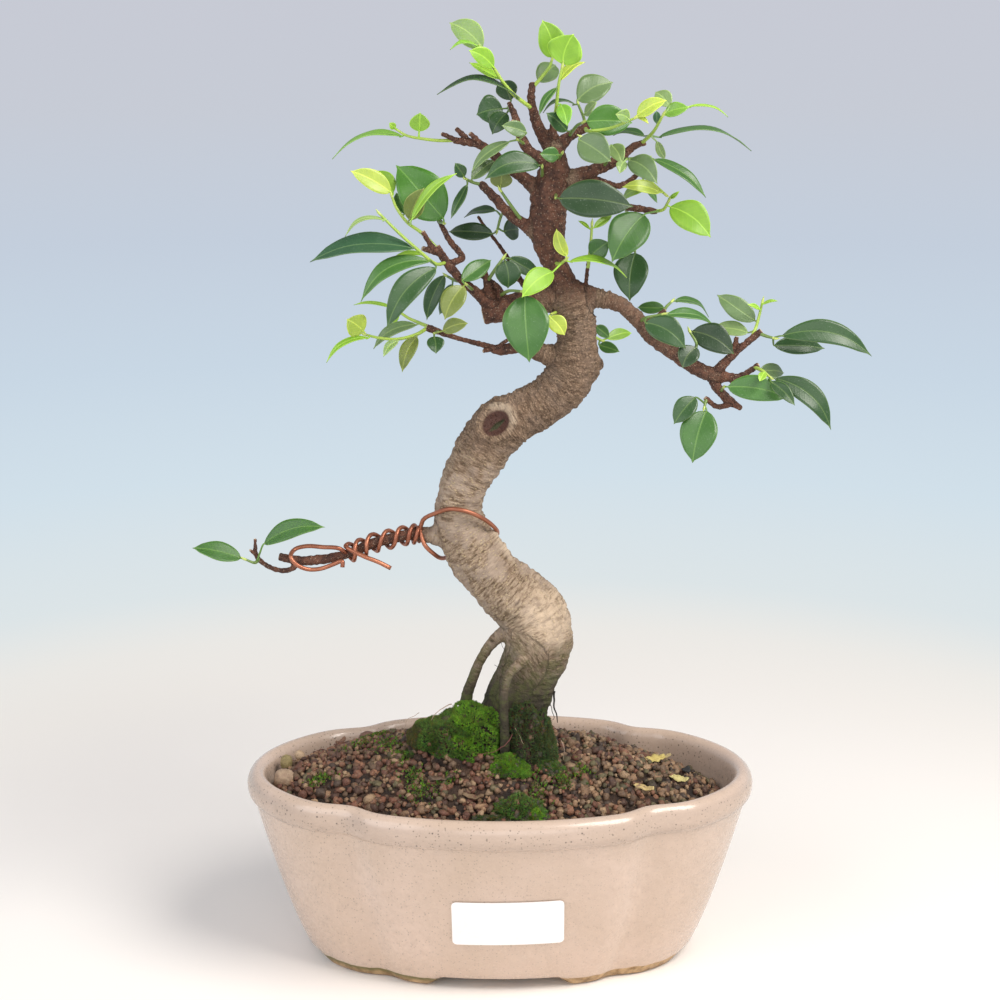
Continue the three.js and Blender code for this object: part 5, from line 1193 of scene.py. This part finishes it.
# ---- the shoots ----
# Each shoot is a green stem with its leaves on short stalks. Old leaves are dark, waxy and a little dusty;
# new ones are lime and soft. A blade folds along its pale midrib, arches, and ends in a small drip tip.
# A stem is a list of places; a leaf is its base, its tip, width, turn towards the sky, arch and age.
LEAF_TONES = {
    "pine": (0.014, 0.040, 0.010), "deep": (0.022, 0.068, 0.015), "mid": (0.045, 0.13, 0.022),
    "rich": (0.048, 0.16, 0.012), "grey": (0.10, 0.17, 0.06), "pale": (0.20, 0.31, 0.10),
    "teal": (0.032, 0.095, 0.040), "olive": (0.13, 0.17, 0.03), "fresh": (0.15, 0.33, 0.035),
    "lime": (0.20, 0.38, 0.03), "yellow": (0.40, 0.52, 0.07),
}
NEW_TONES = ("lime", "yellow", "fresh")
SHOOTS = {
    "top_left": (
        [(11, 331, 3), (5, 335.5, 8), (1, 340, 10), (-2, 344.5, 11), (-6.5, 351, 12)],
        [(-6.2, 352, 12, -18.5, 361, 8, 9, 10, 1, "pale"),
         (-7.5, 352.2, 13, -18, 351.8, 16, 2.4, 60, 2, "fresh"),
         (-2.2, 345, 12, -11, 351, 18, 6.5, 20, 1, "lime"),
         (0.2, 341, 10, -11, 347.5, 5, 4, 50, 0, "lime"),
         (7, 334, 10, -22.5, 338, 14, 8.5, 72, 5.5, "deep")],
    ),
    "dark_left": (
        [(5, 329, 5), (3.5, 330, -2), (3, 331, -8)],
        [(4, 333.6, -9, 0.5, 340.6, -16, 8, 20, 1, "pine"),
         (1, 330.5, -6, -8.5, 328.5, -4, 11, 15, 1, "deep"),
         (2.5, 329, -4, -3, 321.6, -2, 7.5, 25, 1, "deep")],
    ),
    "top_middle": (
        [(11.8, 338, 2), (14.5, 341, 3), (18, 345.5, 4), (18.6, 347.4, 4)],
        [(18.7, 348.4, 4, 15.2, 361.5, 6, 9.6, 8, 1, "lime"),
         (14, 340, 1, 20.5, 346.8, -9, 8, 20, 1, "grey")],
    ),
    "top_right": (
        [(19.4, 325, 0), (20.4, 331, 5), (21.2, 339, 8), (22.4, 345, 9)],
        [(22.6, 346, 9, 26.4, 356.6, 12, 13, 5, 1, "lime"),
         (21.6, 340.5, 8, 30.6, 347.6, 3, 4.2, 55, 1, "yellow"),
         (20.6, 338, 8, 14, 328.6, 15, 3.2, 60, 1, "mid"),
         (22, 332, 6, 24.4, 324.6, 12, 5.6, 10, 1, "fresh")],
    ),
    "pale_right": (
        [(30, 323.2, 0), (30.6, 326.5, -7), (28.4, 332, -12)],
        [(28, 333.5, -13, 41, 340, -17, 11, 25, 1, "grey"),
         (30.6, 328.5, -8, 34.5, 333, -3, 5, 40, 0, "pale"),
         (27.4, 332, -12, 15.4, 329.4, -11, 4, 70, 3, "deep")],
    ),
    "dark_right": (
        [(25, 320.5, 0), (28, 324.5, 8), (30, 325.6, 11)],
        [(31.4, 326, 12, 48.4, 325.6, 10, 11, 10, 1.5, "rich"),
         (24.4, 322.6, 5, 17, 329, 9, 6, 15, 0, "deep")],
    ),
    "yellow_right": (
        [(31, 323.4, 0), (33, 322.6, 17), (40, 323.6, 20), (48.6, 327, 22)],
        [(49.6, 328, 22, 60, 333.8, 26, 6, 30, 1, "yellow"),
         (47, 326.6, 22, 42.4, 328.4, 27, 4.6, 5, 0.5, "pale"),
         (50, 327.4, 22, 54, 325.4, 24, 1.6, 40, 0.5, "yellow")],
    ),
    "right_upper": (
        [(51.5, 318.2, -2), (55.5, 322, 4), (57.4, 325, 7), (59, 328, 9)],
        [(59.6, 328.6, 9, 68.4, 331, 12, 5.5, 30, 1, "fresh"),
         (61.6, 331.4, 9, 56, 336.6, 4, 6, 20, 1, "pale"),
         (68, 331.2, 8, 83, 328, 5, 1.8, 60, 2.5, "lime"),
         (57, 325.4, 6, 56.8, 330, 0, 2.8, 20, 0, "teal"),
         (57.6, 320.4, -8, 92, 317.4, -16, 8.5, 76, 5, "mid"),
         (57, 318.8, -9, 60.6, 312.4, -14, 3.4, 25, 0, "pale"),
         (52.6, 320.8, -8, 41, 322, -14, 5, 62, 1.6, "deep")],
    ),
    "right_hang": (
        [(43, 312.6, -2), (46, 312.6, 5), (53, 313.2, 8)],
        [(47, 312.2, 8, 57.4, 304, 17, 8.5, 15, 2.5, "grey"),
         (56, 312.6, 9, 76, 299.6, 14, 5.4, 50, 2.5, "mid"),
         (45.4, 311.8, 7, 43.8, 307.6, 11, 4, 10, 0.5, "pale")],
    ),
    "right_inner": (
        [(38, 310, -2), (39.6, 314, 8), (37, 318, 13), (30, 320.4, 16)],
        [(28.6, 319.6, 17, 40.4, 311.8, 23, 11, 5, 1, "grey"),
         (40.6, 317.6, 9, 44.4, 311.6, 16, 6, 5, 0.5, "pale")],
    ),
    "big_dark": (
        [(20.5, 300, 4), (20.4, 298.6, 17)],
        [(21.5, 298.4, 20, 49, 295.6, 23, 13.5, 12, 1.5, "pine")],
    ),
    "right_fork": (
        [(51, 308, -6), (54, 305.4, 1), (60.4, 300, 5)],
        [(58.8, 300.6, 6, 45, 303, 10, 5, 30, 1.5, "yellow"),
         (53, 301.8, 2, 43.4, 297.4, -12, 4.4, 35, 1, "lime"),
         (52.6, 303.6, -3, 58.4, 296.8, -9, 3.2, 35, 0.5, "mid")],
    ),
    "lime_right": (
        [(57, 293.7, -2), (60, 294.4, 0), (61.6, 297, 2)],
        [(62.4, 295.4, 1, 77.6, 284.6, 8, 11.5, 18, 2, "lime"),
         (62, 298.4, 2, 65.4, 301, 6, 1.6, 20, 0, "lime"),
         (53, 292.6, 7, 41.6, 275.8, 18, 14.5, 10, 1.5, "mid")],
    ),
    "gloss_right": (
        [(46, 295.3, -4), (47.6, 290, -13), (49.6, 280, -14)],
        [(50, 278.6, -13, 48.2, 261.2, -4, 13, 18, 1.5, "deep")],
    ),
    "twig_right": (
        [(32.5, 273, 3), (33, 277, 3), (33.6, 284, -2), (33.8, 288.6, -3)],
        [(33.4, 277.4, 5, 40, 282.6, 7, 8, 8, 0.5, "mid"),
         (34.6, 287.8, -3, 41.4, 292.6, -8, 3, 30, 0.5, "lime"),
         (33, 287.4, -3, 28.6, 290.6, -7, 1.4, 30, 0, "lime")],
    ),
    "lime_front": (
        [(20, 275, 2), (22.4, 274.6, 12), (24, 275.8, 14)],
        [(24.6, 277.4, 14, 21, 287.6, 11, 5, 35, -1.8, "yellow"),
         (25.6, 275.4, 14, 47.4, 270.2, 8, 6, 66, 3.5, "lime"),
         (19.6, 271.6, 16, 8.4, 262.4, 26, 8.5, 10, 1.5, "lime")],
    ),
    "big_front": (
        [(0.4, 263, 3), (3.6, 264.6, 14), (8, 264.4, 19)],
        [(9.2, 263, 20, 11, 238, 27, 16.8, 3, 1.5, "mid")],
    ),
    "inner_left": (
        [(-4.8, 268, 3), (-1, 273.6, 8), (1, 276.4, 9)],
        [(1.8, 275.8, 8, 3, 265.4, 9, 9.5, 8, 0.5, "deep"),
         (3.4, 276.6, 8, 15.6, 269.6, 4, 6, 20, 0.5, "deep")],
    ),
    "trunk_yellow": (
        [(22, 257, 3), (19.4, 256, 13)],
        [(18.4, 255, 15, 24.2, 248, 16, 6.5, 5, 0.5, "yellow")],
    ),
    "behind_trunk": (
        [(29, 250, -2), (34, 248, -16), (38, 246, -18)],
        [(35.6, 251.4, -17, 41, 247, -19, 4.4, 20, 0, "mid"),
         (40, 246.8, -20, 49.6, 249.2, -27, 4.6, 25, 0.5, "lime"),
         (37, 244.4, -17, 44.6, 242, -12, 4.6, 20, 0.5, "mid")],
    ),
    "branch_upper": (
        [(60.5, 256.5, 1), (62, 258.8, -2), (63.6, 260.4, -4)],
        [(64.8, 260.8, -5, 78.4, 255.8, -10, 5, 60, 2.5, "mid"),
         (61, 258.2, -3, 50.8, 258.6, -10, 4.8, 20, 0.5, "mid")],
    ),
    "branch_middle": (
        [(52, 253, 5), (54.6, 254.6, 12), (60.4, 255.8, 14)],
        [(54, 252.8, 14, 69.4, 243.2, 20, 10, 10, 2, "deep"),
         (62, 255.6, 13, 79.8, 253.2, 8, 5.6, 50, 1.6, "mid")],
    ),
    "branch_dark": (
        [(69, 238.6, 8), (73.4, 244.4, 14), (71, 249, 12)],
        [(71.6, 249.6, 10, 87.6, 241, 15, 10.5, 10, 1.2, "pine"),
         (73.4, 243.6, 16, 68.4, 235.8, 20, 8, 8, 0.8, "pine")],
    ),
    "branch_tip_upper": (
        [(93.5, 246.4, 9), (95.4, 251, 5), (96.6, 256, 4), (97.4, 260, 4)],
        [(95, 253.4, 3, 80.4, 263.4, -2, 8, 15, 1, "grey"),
         (92.6, 249, 3, 78.6, 250.6, -1, 6, 30, 1.5, "pale"),
         (97.4, 259.6, 5, 103, 261, 9, 1.4, 40, 0.5, "lime"),
         (96.8, 257.6, 5, 92.4, 259.6, 9, 1.8, 30, 0.5, "lime")],
    ),
    "branch_far": (
        [(96.5, 248.8, 9), (99.6, 247.6, 11), (102, 247, 12)],
        [(105, 247.8, 13, 139.6, 240.6, 16, 9, 22, 4.5, "deep"),
         (102.4, 244.2, 9, 122, 243.4, 4, 7, 22, 0, "deep")],
    ),
    "branch_lower": (
        [(95.5, 235.9, 11), (98.4, 234.6, 16), (101, 232.4, 18)],
        [(103, 231.8, 18, 125.4, 212.4, 25, 8.5, 20, 4.5, "deep"),
         (101.6, 230.6, 20, 111, 221.8, 27, 5, 20, 0.5, "deep"),
         (97.4, 234.6, 10, 107.4, 234, 2, 5.6, 20, 0.5, "grey"),
         (99, 234, 19, 97.4, 230.8, 23, 3, 10, 0.3, "lime")],
    ),
    "branch_low_leaf": (
        [(83, 227, 9), (84, 228.4, 15)],
        [(85.4, 228.6, 17, 109, 224.4, 21, 9.5, 12, 1, "mid")],
    ),
    "branch_hang": (
        [(77.6, 223.8, 12), (77, 221, 14)],
        [(77.8, 219.6, 15, 73, 199.4, 22, 13.6, 6, 1.2, "mid"),
         (73.6, 224.6, 15, 65.6, 214.4, 19, 8, 12, 1, "deep")],
    ),
    "left_spray": (
        [(-20, 275, 3), (-24, 274.6, 10), (-30, 279.4, 13), (-38, 286.6, 15), (-44, 292.6, 16)],
        [(-32, 280.2, 14, -70.5, 276.6, 17, 10.5, 48, 3.5, "teal"),
         (-26, 275.6, 13, -52, 261, 20, 7, 35, 5.5, "mid"),
         (-42, 290.6, 16, -57.4, 285.2, 19, 2.2, 50, 3, "pale"),
         (-28, 278, 11, -41.2, 276, 8, 2.6, 50, 1.2, "lime"),
         (-23.6, 273.2, 18, -42.2, 250.8, 29, 9.5, 14, 3.5, "deep")],
    ),
    "left_crown": (
        [(-23, 280, 3), (-29, 286, 2), (-34, 289.6, 1), (-38, 295, 0), (-39.6, 299, 0)],
        [(-40, 300.6, 0, -54.6, 308.4, 3, 7.4, 15, 1.2, "yellow"),
         (-39.2, 300.4, -2, -45.4, 309, -7, 6, 20, 0.5, "lime"),
         (-33.4, 290.6, 4, -28, 302, 8, 7.6, 10, 0.5, "olive"),
         (-32.6, 290.6, 8, -16.8, 308, 14, 4.4, 40, 1.5, "lime"),
         (-35, 293, -2, -38.2, 301, -8, 4.4, 15, 0, "mid")],
    ),
    "left_large": (
        [(-22.4, 290, -6), (-20.8, 289.4, -2)],
        [(-20.8, 291, -2, -38, 310.6, -3, 17, 6, 1.5, "rich")],
    ),
    "left_long_twig": (
        [(-16, 319.3, 0), (-22, 319.2, 0), (-28, 319.8, 0), (-34, 321, 0), (-37.4, 323, 0)],
        [(-29.4, 322.4, 1, -29, 329, 3, 7.4, 5, 0.3, "lime"),
         (-35.4, 320.8, -1, -61.6, 313.4, -8, 6.5, 68, 4, "fresh"),
         (-38, 323.6, 1, -40, 325.4, 3, 2.6, 10, 0, "lime")],
    ),
    "left_middle": (
        [(-6.5, 303.4, 1), (-10, 304.2, 3), (-12.4, 305.4, 5)],
        [(-13, 306.2, 6, -16.2, 311, 9, 4.6, 10, 0.3, "deep"),
         (-10.4, 305.4, 1, -1, 312.6, -6, 5, 30, 0.8, "grey"),
         (-12, 303.4, 6, -18.4, 291.4, 10, 4, 50, 0.5, "deep")],
    ),
    "left_inner_dark": (
        [(2, 294, 2), (0.4, 292, -5), (-1, 287, -7)],
        [(-1.6, 294, -6, -13.6, 292.4, -12, 6, 60, 1.2, "deep"),
         (-2.6, 285.6, -7, -19.4, 286.6, -14, 7, 25, 1, "pine"),
         (1.4, 286.4, -6, 7.4, 287.2, -14, 8, 10, 0.3, "deep")],
    ),
    "left_olive": (
        [(9, 289, 2), (3.6, 296.4, 7), (0.4, 301, 9)],
        [(0.2, 302.2, 9, 0.6, 309, 11, 8, 5, 0.3, "olive")],
    ),
    "middle_long": (
        [(15.4, 306, 4), (15.4, 309.6, 12)],
        [(14.6, 310.4, 13, -5.4, 305.8, 19, 8.5, 25, 2.5, "deep")],
    ),
    "middle_pale": (
        [(9.4, 317.6, 4), (6.6, 319.4, 11)],
        [(3.4, 318.8, 12, -10.8, 308.4, 16, 4.6, 35, 1.5, "grey"),
         (9.6, 322, 12, 0.8, 324.6, 16, 5.4, 15, 0.8, "grey")],
    ),
    "middle_small": (
        [(21, 312, 2), (22.6, 314.6, 11)],
        [(21.6, 314, 12, 14.8, 314.4, 16, 5.4, 5, 0.3, "mid")],
    ),
    "low_spray": (
        [(-27, 250.8, 3), (-31, 248.4, 5), (-38, 246.6, 6), (-45, 247, 7), (-50, 248.2, 8)],
        [(-50.8, 249.4, 8, -57, 254, 10, 9, 5, 0.3, "yellow"),
         (-48.8, 247.2, 9, -65.4, 238.4, 13, 3, 50, 3.4, "lime"),
         (-38, 246, 7, -43.6, 240.2, 12, 3.4, 30, 1, "pale"),
         (-31, 247.4, 6, -36.8, 234.4, 13, 6, 30, 2.6, "olive")],
    ),
    "low_dark": (
        [(-23, 249.5, 3), (-24.4, 248.8, 9)],
        [(-24.6, 247.6, 11, -24, 241.4, 16, 6.4, 6, 0.3, "deep"),
         (-21.4, 249.6, 10, -12, 252.6, 12, 5.6, 12, 0.4, "olive")],
    ),
    "low_upper": (
        [(-26.6, 251.2, 1), (-30.4, 252.8, -5), (-34, 254.4, -7), (-38.6, 257.6, -9)],
        [(-39, 258, -9, -54.6, 260, -14, 1.8, 50, 1.5, "lime"),
         (-38, 256.8, -8, -39.8, 252, -5, 2, 20, 0, "lime"),
         (-31, 252, -4, -47.8, 243.4, -4, 5.4, 40, 2.8, "grey")],
    ),
    "left_under": (
        [(-13.6, 268, 3), (-17, 268.6, -4), (-19.6, 270, -6)],
        [(-20.6, 270.4, -7, -27.6, 253.6, -7, 6.5, 20, 1, "deep"),
         (-17.6, 267, -6, -22.8, 255.4, -13, 5.4, 15, 0.5, "teal")],
    ),
    "left_under_near": (
        [(-10, 264.8, 3), (-12.4, 266.8, 11)],
        [(-13.4, 266.4, 12, -20.6, 253.8, 17, 8.6, 10, 1.5, "olive"),
         (-14, 268.4, 10, -3, 276.4, 2, 7, 25, 0.8, "mid")],
    ),
    "wired_tip": (
        [(-92.6, 161.6, 0), (-94.4, 160.2, 4), (-97.6, 161.4, 5)],
        [(-99.4, 162, 5, -118, 166.4, 7, 8, 35, 1.5, "mid"),
         (-90.6, 167.6, 4, -67.2, 174.6, 8, 8, 30, 2.6, "mid")],
    ),
}
NEW_GROWTH = ("yellow", "lime", "top_", "wired", "low_spray")
LEAF_THICKNESS = 0.26
LEAF_FOLD = 0.16
STALK_RADIUS = 0.42
BARE_STEM = 0.25
random.seed(5)


def square_to(direction, line):
    return (direction - line * direction.dot(line)).normalized()


def painted(mesh, tone, blade=(0, 6, 12)):
    """Gives a stalk its colour and a blade place that shows no midrib and no edge."""
    mesh.attributes.new("tone", "FLOAT_COLOR", "POINT")
    mesh.attributes.new("blade", "FLOAT_VECTOR", "POINT")
    count = len(mesh.vertices)
    mesh.attributes["tone"].data.foreach_set("color", (*tone, 1) * count)
    mesh.attributes["blade"].data.foreach_set("vector", blade * count)
    return mesh


def leaf_blade(base, tip, width, turn, arch, tone):
    """One blade. Each corner keeps how far along, how far across and how near the edge it lies."""
    run = tip - base
    along = run.normalized()
    upward = square_to(Vector((0, 0, 1)), along)
    face = square_to(EYE - base, along).lerp(upward, turn / 90).normalized()
    side = along.cross(face).normalized()
    sway = random.uniform(-0.05, 0.05) * run.length
    wave_start = random.uniform(0, 6)
    curl = random.uniform(0.03, 0.1) * run.length
    bm = bmesh.new()
    tones = bm.verts.layers.float_color.new("tone")
    blades = bm.verts.layers.float_vector.new("blade")
    bmesh.ops.create_grid(bm, x_segments=18, y_segments=8, size=1)
    for corner in bm.verts:
        u, v = (corner.co.x + 1) / 2, corner.co.y
        body = max(math.sin(math.pi * u ** 0.82), 0) ** 0.8
        narrow = smooth_step(u, 0.84, 1)
        half = width / 2 * (body * (1 - narrow) + 0.9 * (1 - u) * narrow)
        wave = math.sin(u * 11 + wave_start + v) * 0.05 * half * v * v
        lift = abs(v) * half * LEAF_FOLD + wave - curl * smooth_step(u, 0.6, 1.1)
        spine = base + run * u + upward * arch * 3.6 * u * (1 - u) + side * sway * math.sin(math.pi * u)
        corner.co = spine + side * v * half + face * lift
        corner[blades] = (u * run.length, abs(v) * half, half)
    bmesh.ops.remove_doubles(bm, verts=bm.verts, dist=0.02)
    bmesh.ops.recalc_face_normals(bm, faces=bm.faces)
    if sum(patch.normal.dot(face) for patch in bm.faces) < 0:
        bmesh.ops.reverse_faces(bm, faces=bm.faces)
    bmesh.ops.solidify(bm, geom=bm.faces[:], thickness=LEAF_THICKNESS)
    bm.normal_update()
    for corner in bm.verts:
        corner[tones] = (*tone, 1 if corner.normal.dot(face) > 0 else 0)
    return mesh_of(bm, "blade")


def shoot_mesh(stem, leaves):
    spots = [seen(*spot) for spot in stem]
    route = smooth_route(spots, 8)
    radii = [0.75 - 0.28 * i / len(route) for i in range(len(route))]
    young = [leaf for leaf in leaves if leaf[9] in NEW_TONES]
    stem_tone = (0.33, 0.47, 0.07) if young else (0.14, 0.22, 0.05)
    parts = [painted(strand(route, radii, 10), stem_tone)]
    last = (route[-1] - route[-2]).normalized()
    end = route[-1]
    bud_route = [end - last * 0.3, end + last, end + last * 2.4 + Vector((0.1, 0, 0.3))]
    parts.append(painted(strand(bud_route, [0.5, 0.55, 0.08], 10), (0.45, 0.55, 0.13)))
    marks = route[int(len(route) * BARE_STEM):]
    for leaf in leaves:
        base, tip = seen(*leaf[0:3]), seen(*leaf[3:6])
        tone = Vector(LEAF_TONES[leaf[9]]) * random.uniform(0.88, 1.14)
        foot = min(marks, key=lambda mark: (mark - base).length)
        lean = (tip - base).normalized()
        stalk = smooth_route([foot, foot.lerp(base, 0.55) - lean * 0.2, base, base + lean * 1.3], 4)
        stalk_radii = [STALK_RADIUS - 0.16 * i / len(stalk) for i in range(len(stalk))]
        parts.append(painted(strand(stalk, stalk_radii, 8), tone * 1.2 + Vector((0.07, 0.09, 0.015))))
        parts.append(leaf_blade(base, tip, leaf[6], leaf[7], leaf[8], tone))
    bm = bmesh.new()
    for part in parts:
        bm.from_mesh(part)
        bpy.data.meshes.remove(part)
    return mesh_of(bm, "shoot")


def leaf_finish(name, gloss, dusty, **constants):
    leaf = Finish(name, **constants)
    tone = leaf.node("ShaderNodeAttribute", {"attribute_name": "tone"}, {}, "Color")
    top = leaf.node("ShaderNodeAttribute", {"attribute_name": "tone"}, {}, "Alpha")
    blade = leaf.node("ShaderNodeAttribute", {"attribute_name": "blade"}, {}, "Vector")
    along, across, half = (leaf.height(blade, axis) for axis in "XYZ")
    where = leaf.place()
    cloud = leaf.noise(where, 7, 3)
    flecks = leaf.noise(where, 0.5, 3, 0.6)
    slant = (along - across * 0.8) * 2.9
    veins = leaf.node("ShaderNodeMath", {"operation": "SINE"}, {0: slant}).rise(0.55, 1.0)
    midrib = 1 - across.rise(0.12, 0.36)
    rim = 1 - (half - across).rise(0.08, 0.34)
    colour = leaf.mix(cloud.rise(0.35, 0.68) * 0.4, tone, leaf.mix(1.0, tone, (1.5, 1.35, 1.4), "MULTIPLY"))
    lighter = leaf.mix(1.0, tone, (1.9, 1.7, 1.6), "MULTIPLY")
    paler = leaf.mix(1.0, lighter, (0.09, 0.10, 0.035), "ADD")
    colour = leaf.mix(veins * 0.08, colour, lighter)
    colour = leaf.mix(flecks.rise(0.62, 0.72) * dusty, colour, (0.5, 0.56, 0.46))
    colour = leaf.mix(midrib * 0.5, colour, paler)
    colour = leaf.mix(rim * 0.6, colour, paler)
    under = leaf.mix(0.5, lighter, (0.20, 0.25, 0.13))
    colour = leaf.mix(top, under, colour)
    relief = cloud * 0.5 + veins * 0.07 - midrib * 0.4
    leaf.end(colour, flecks * 0.12 + cloud * 0.16 + (1 - top) * 0.25 + gloss, relief, 0.16)
    return leaf.material


old_leaf = leaf_finish("waxy_old_leaf", 0.24, 0.2, coat_weight=0.12, coat_roughness=0.25)
soft_flesh = {"subsurface_weight": 0.3, "subsurface_radius": (0.8, 1.0, 0.2), "subsurface_scale": 0.001}
new_leaf = leaf_finish("soft_new_leaf", 0.3, 0.05, **soft_flesh)
for name, (stem, leaves) in SHOOTS.items():
    is_new = any(word in name for word in NEW_GROWTH)
    shoot = set_down("leaves_" + name, shoot_mesh(stem, leaves), new_leaf if is_new else old_leaf)
    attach(shoot, "root")
    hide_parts("shoot_" + name)
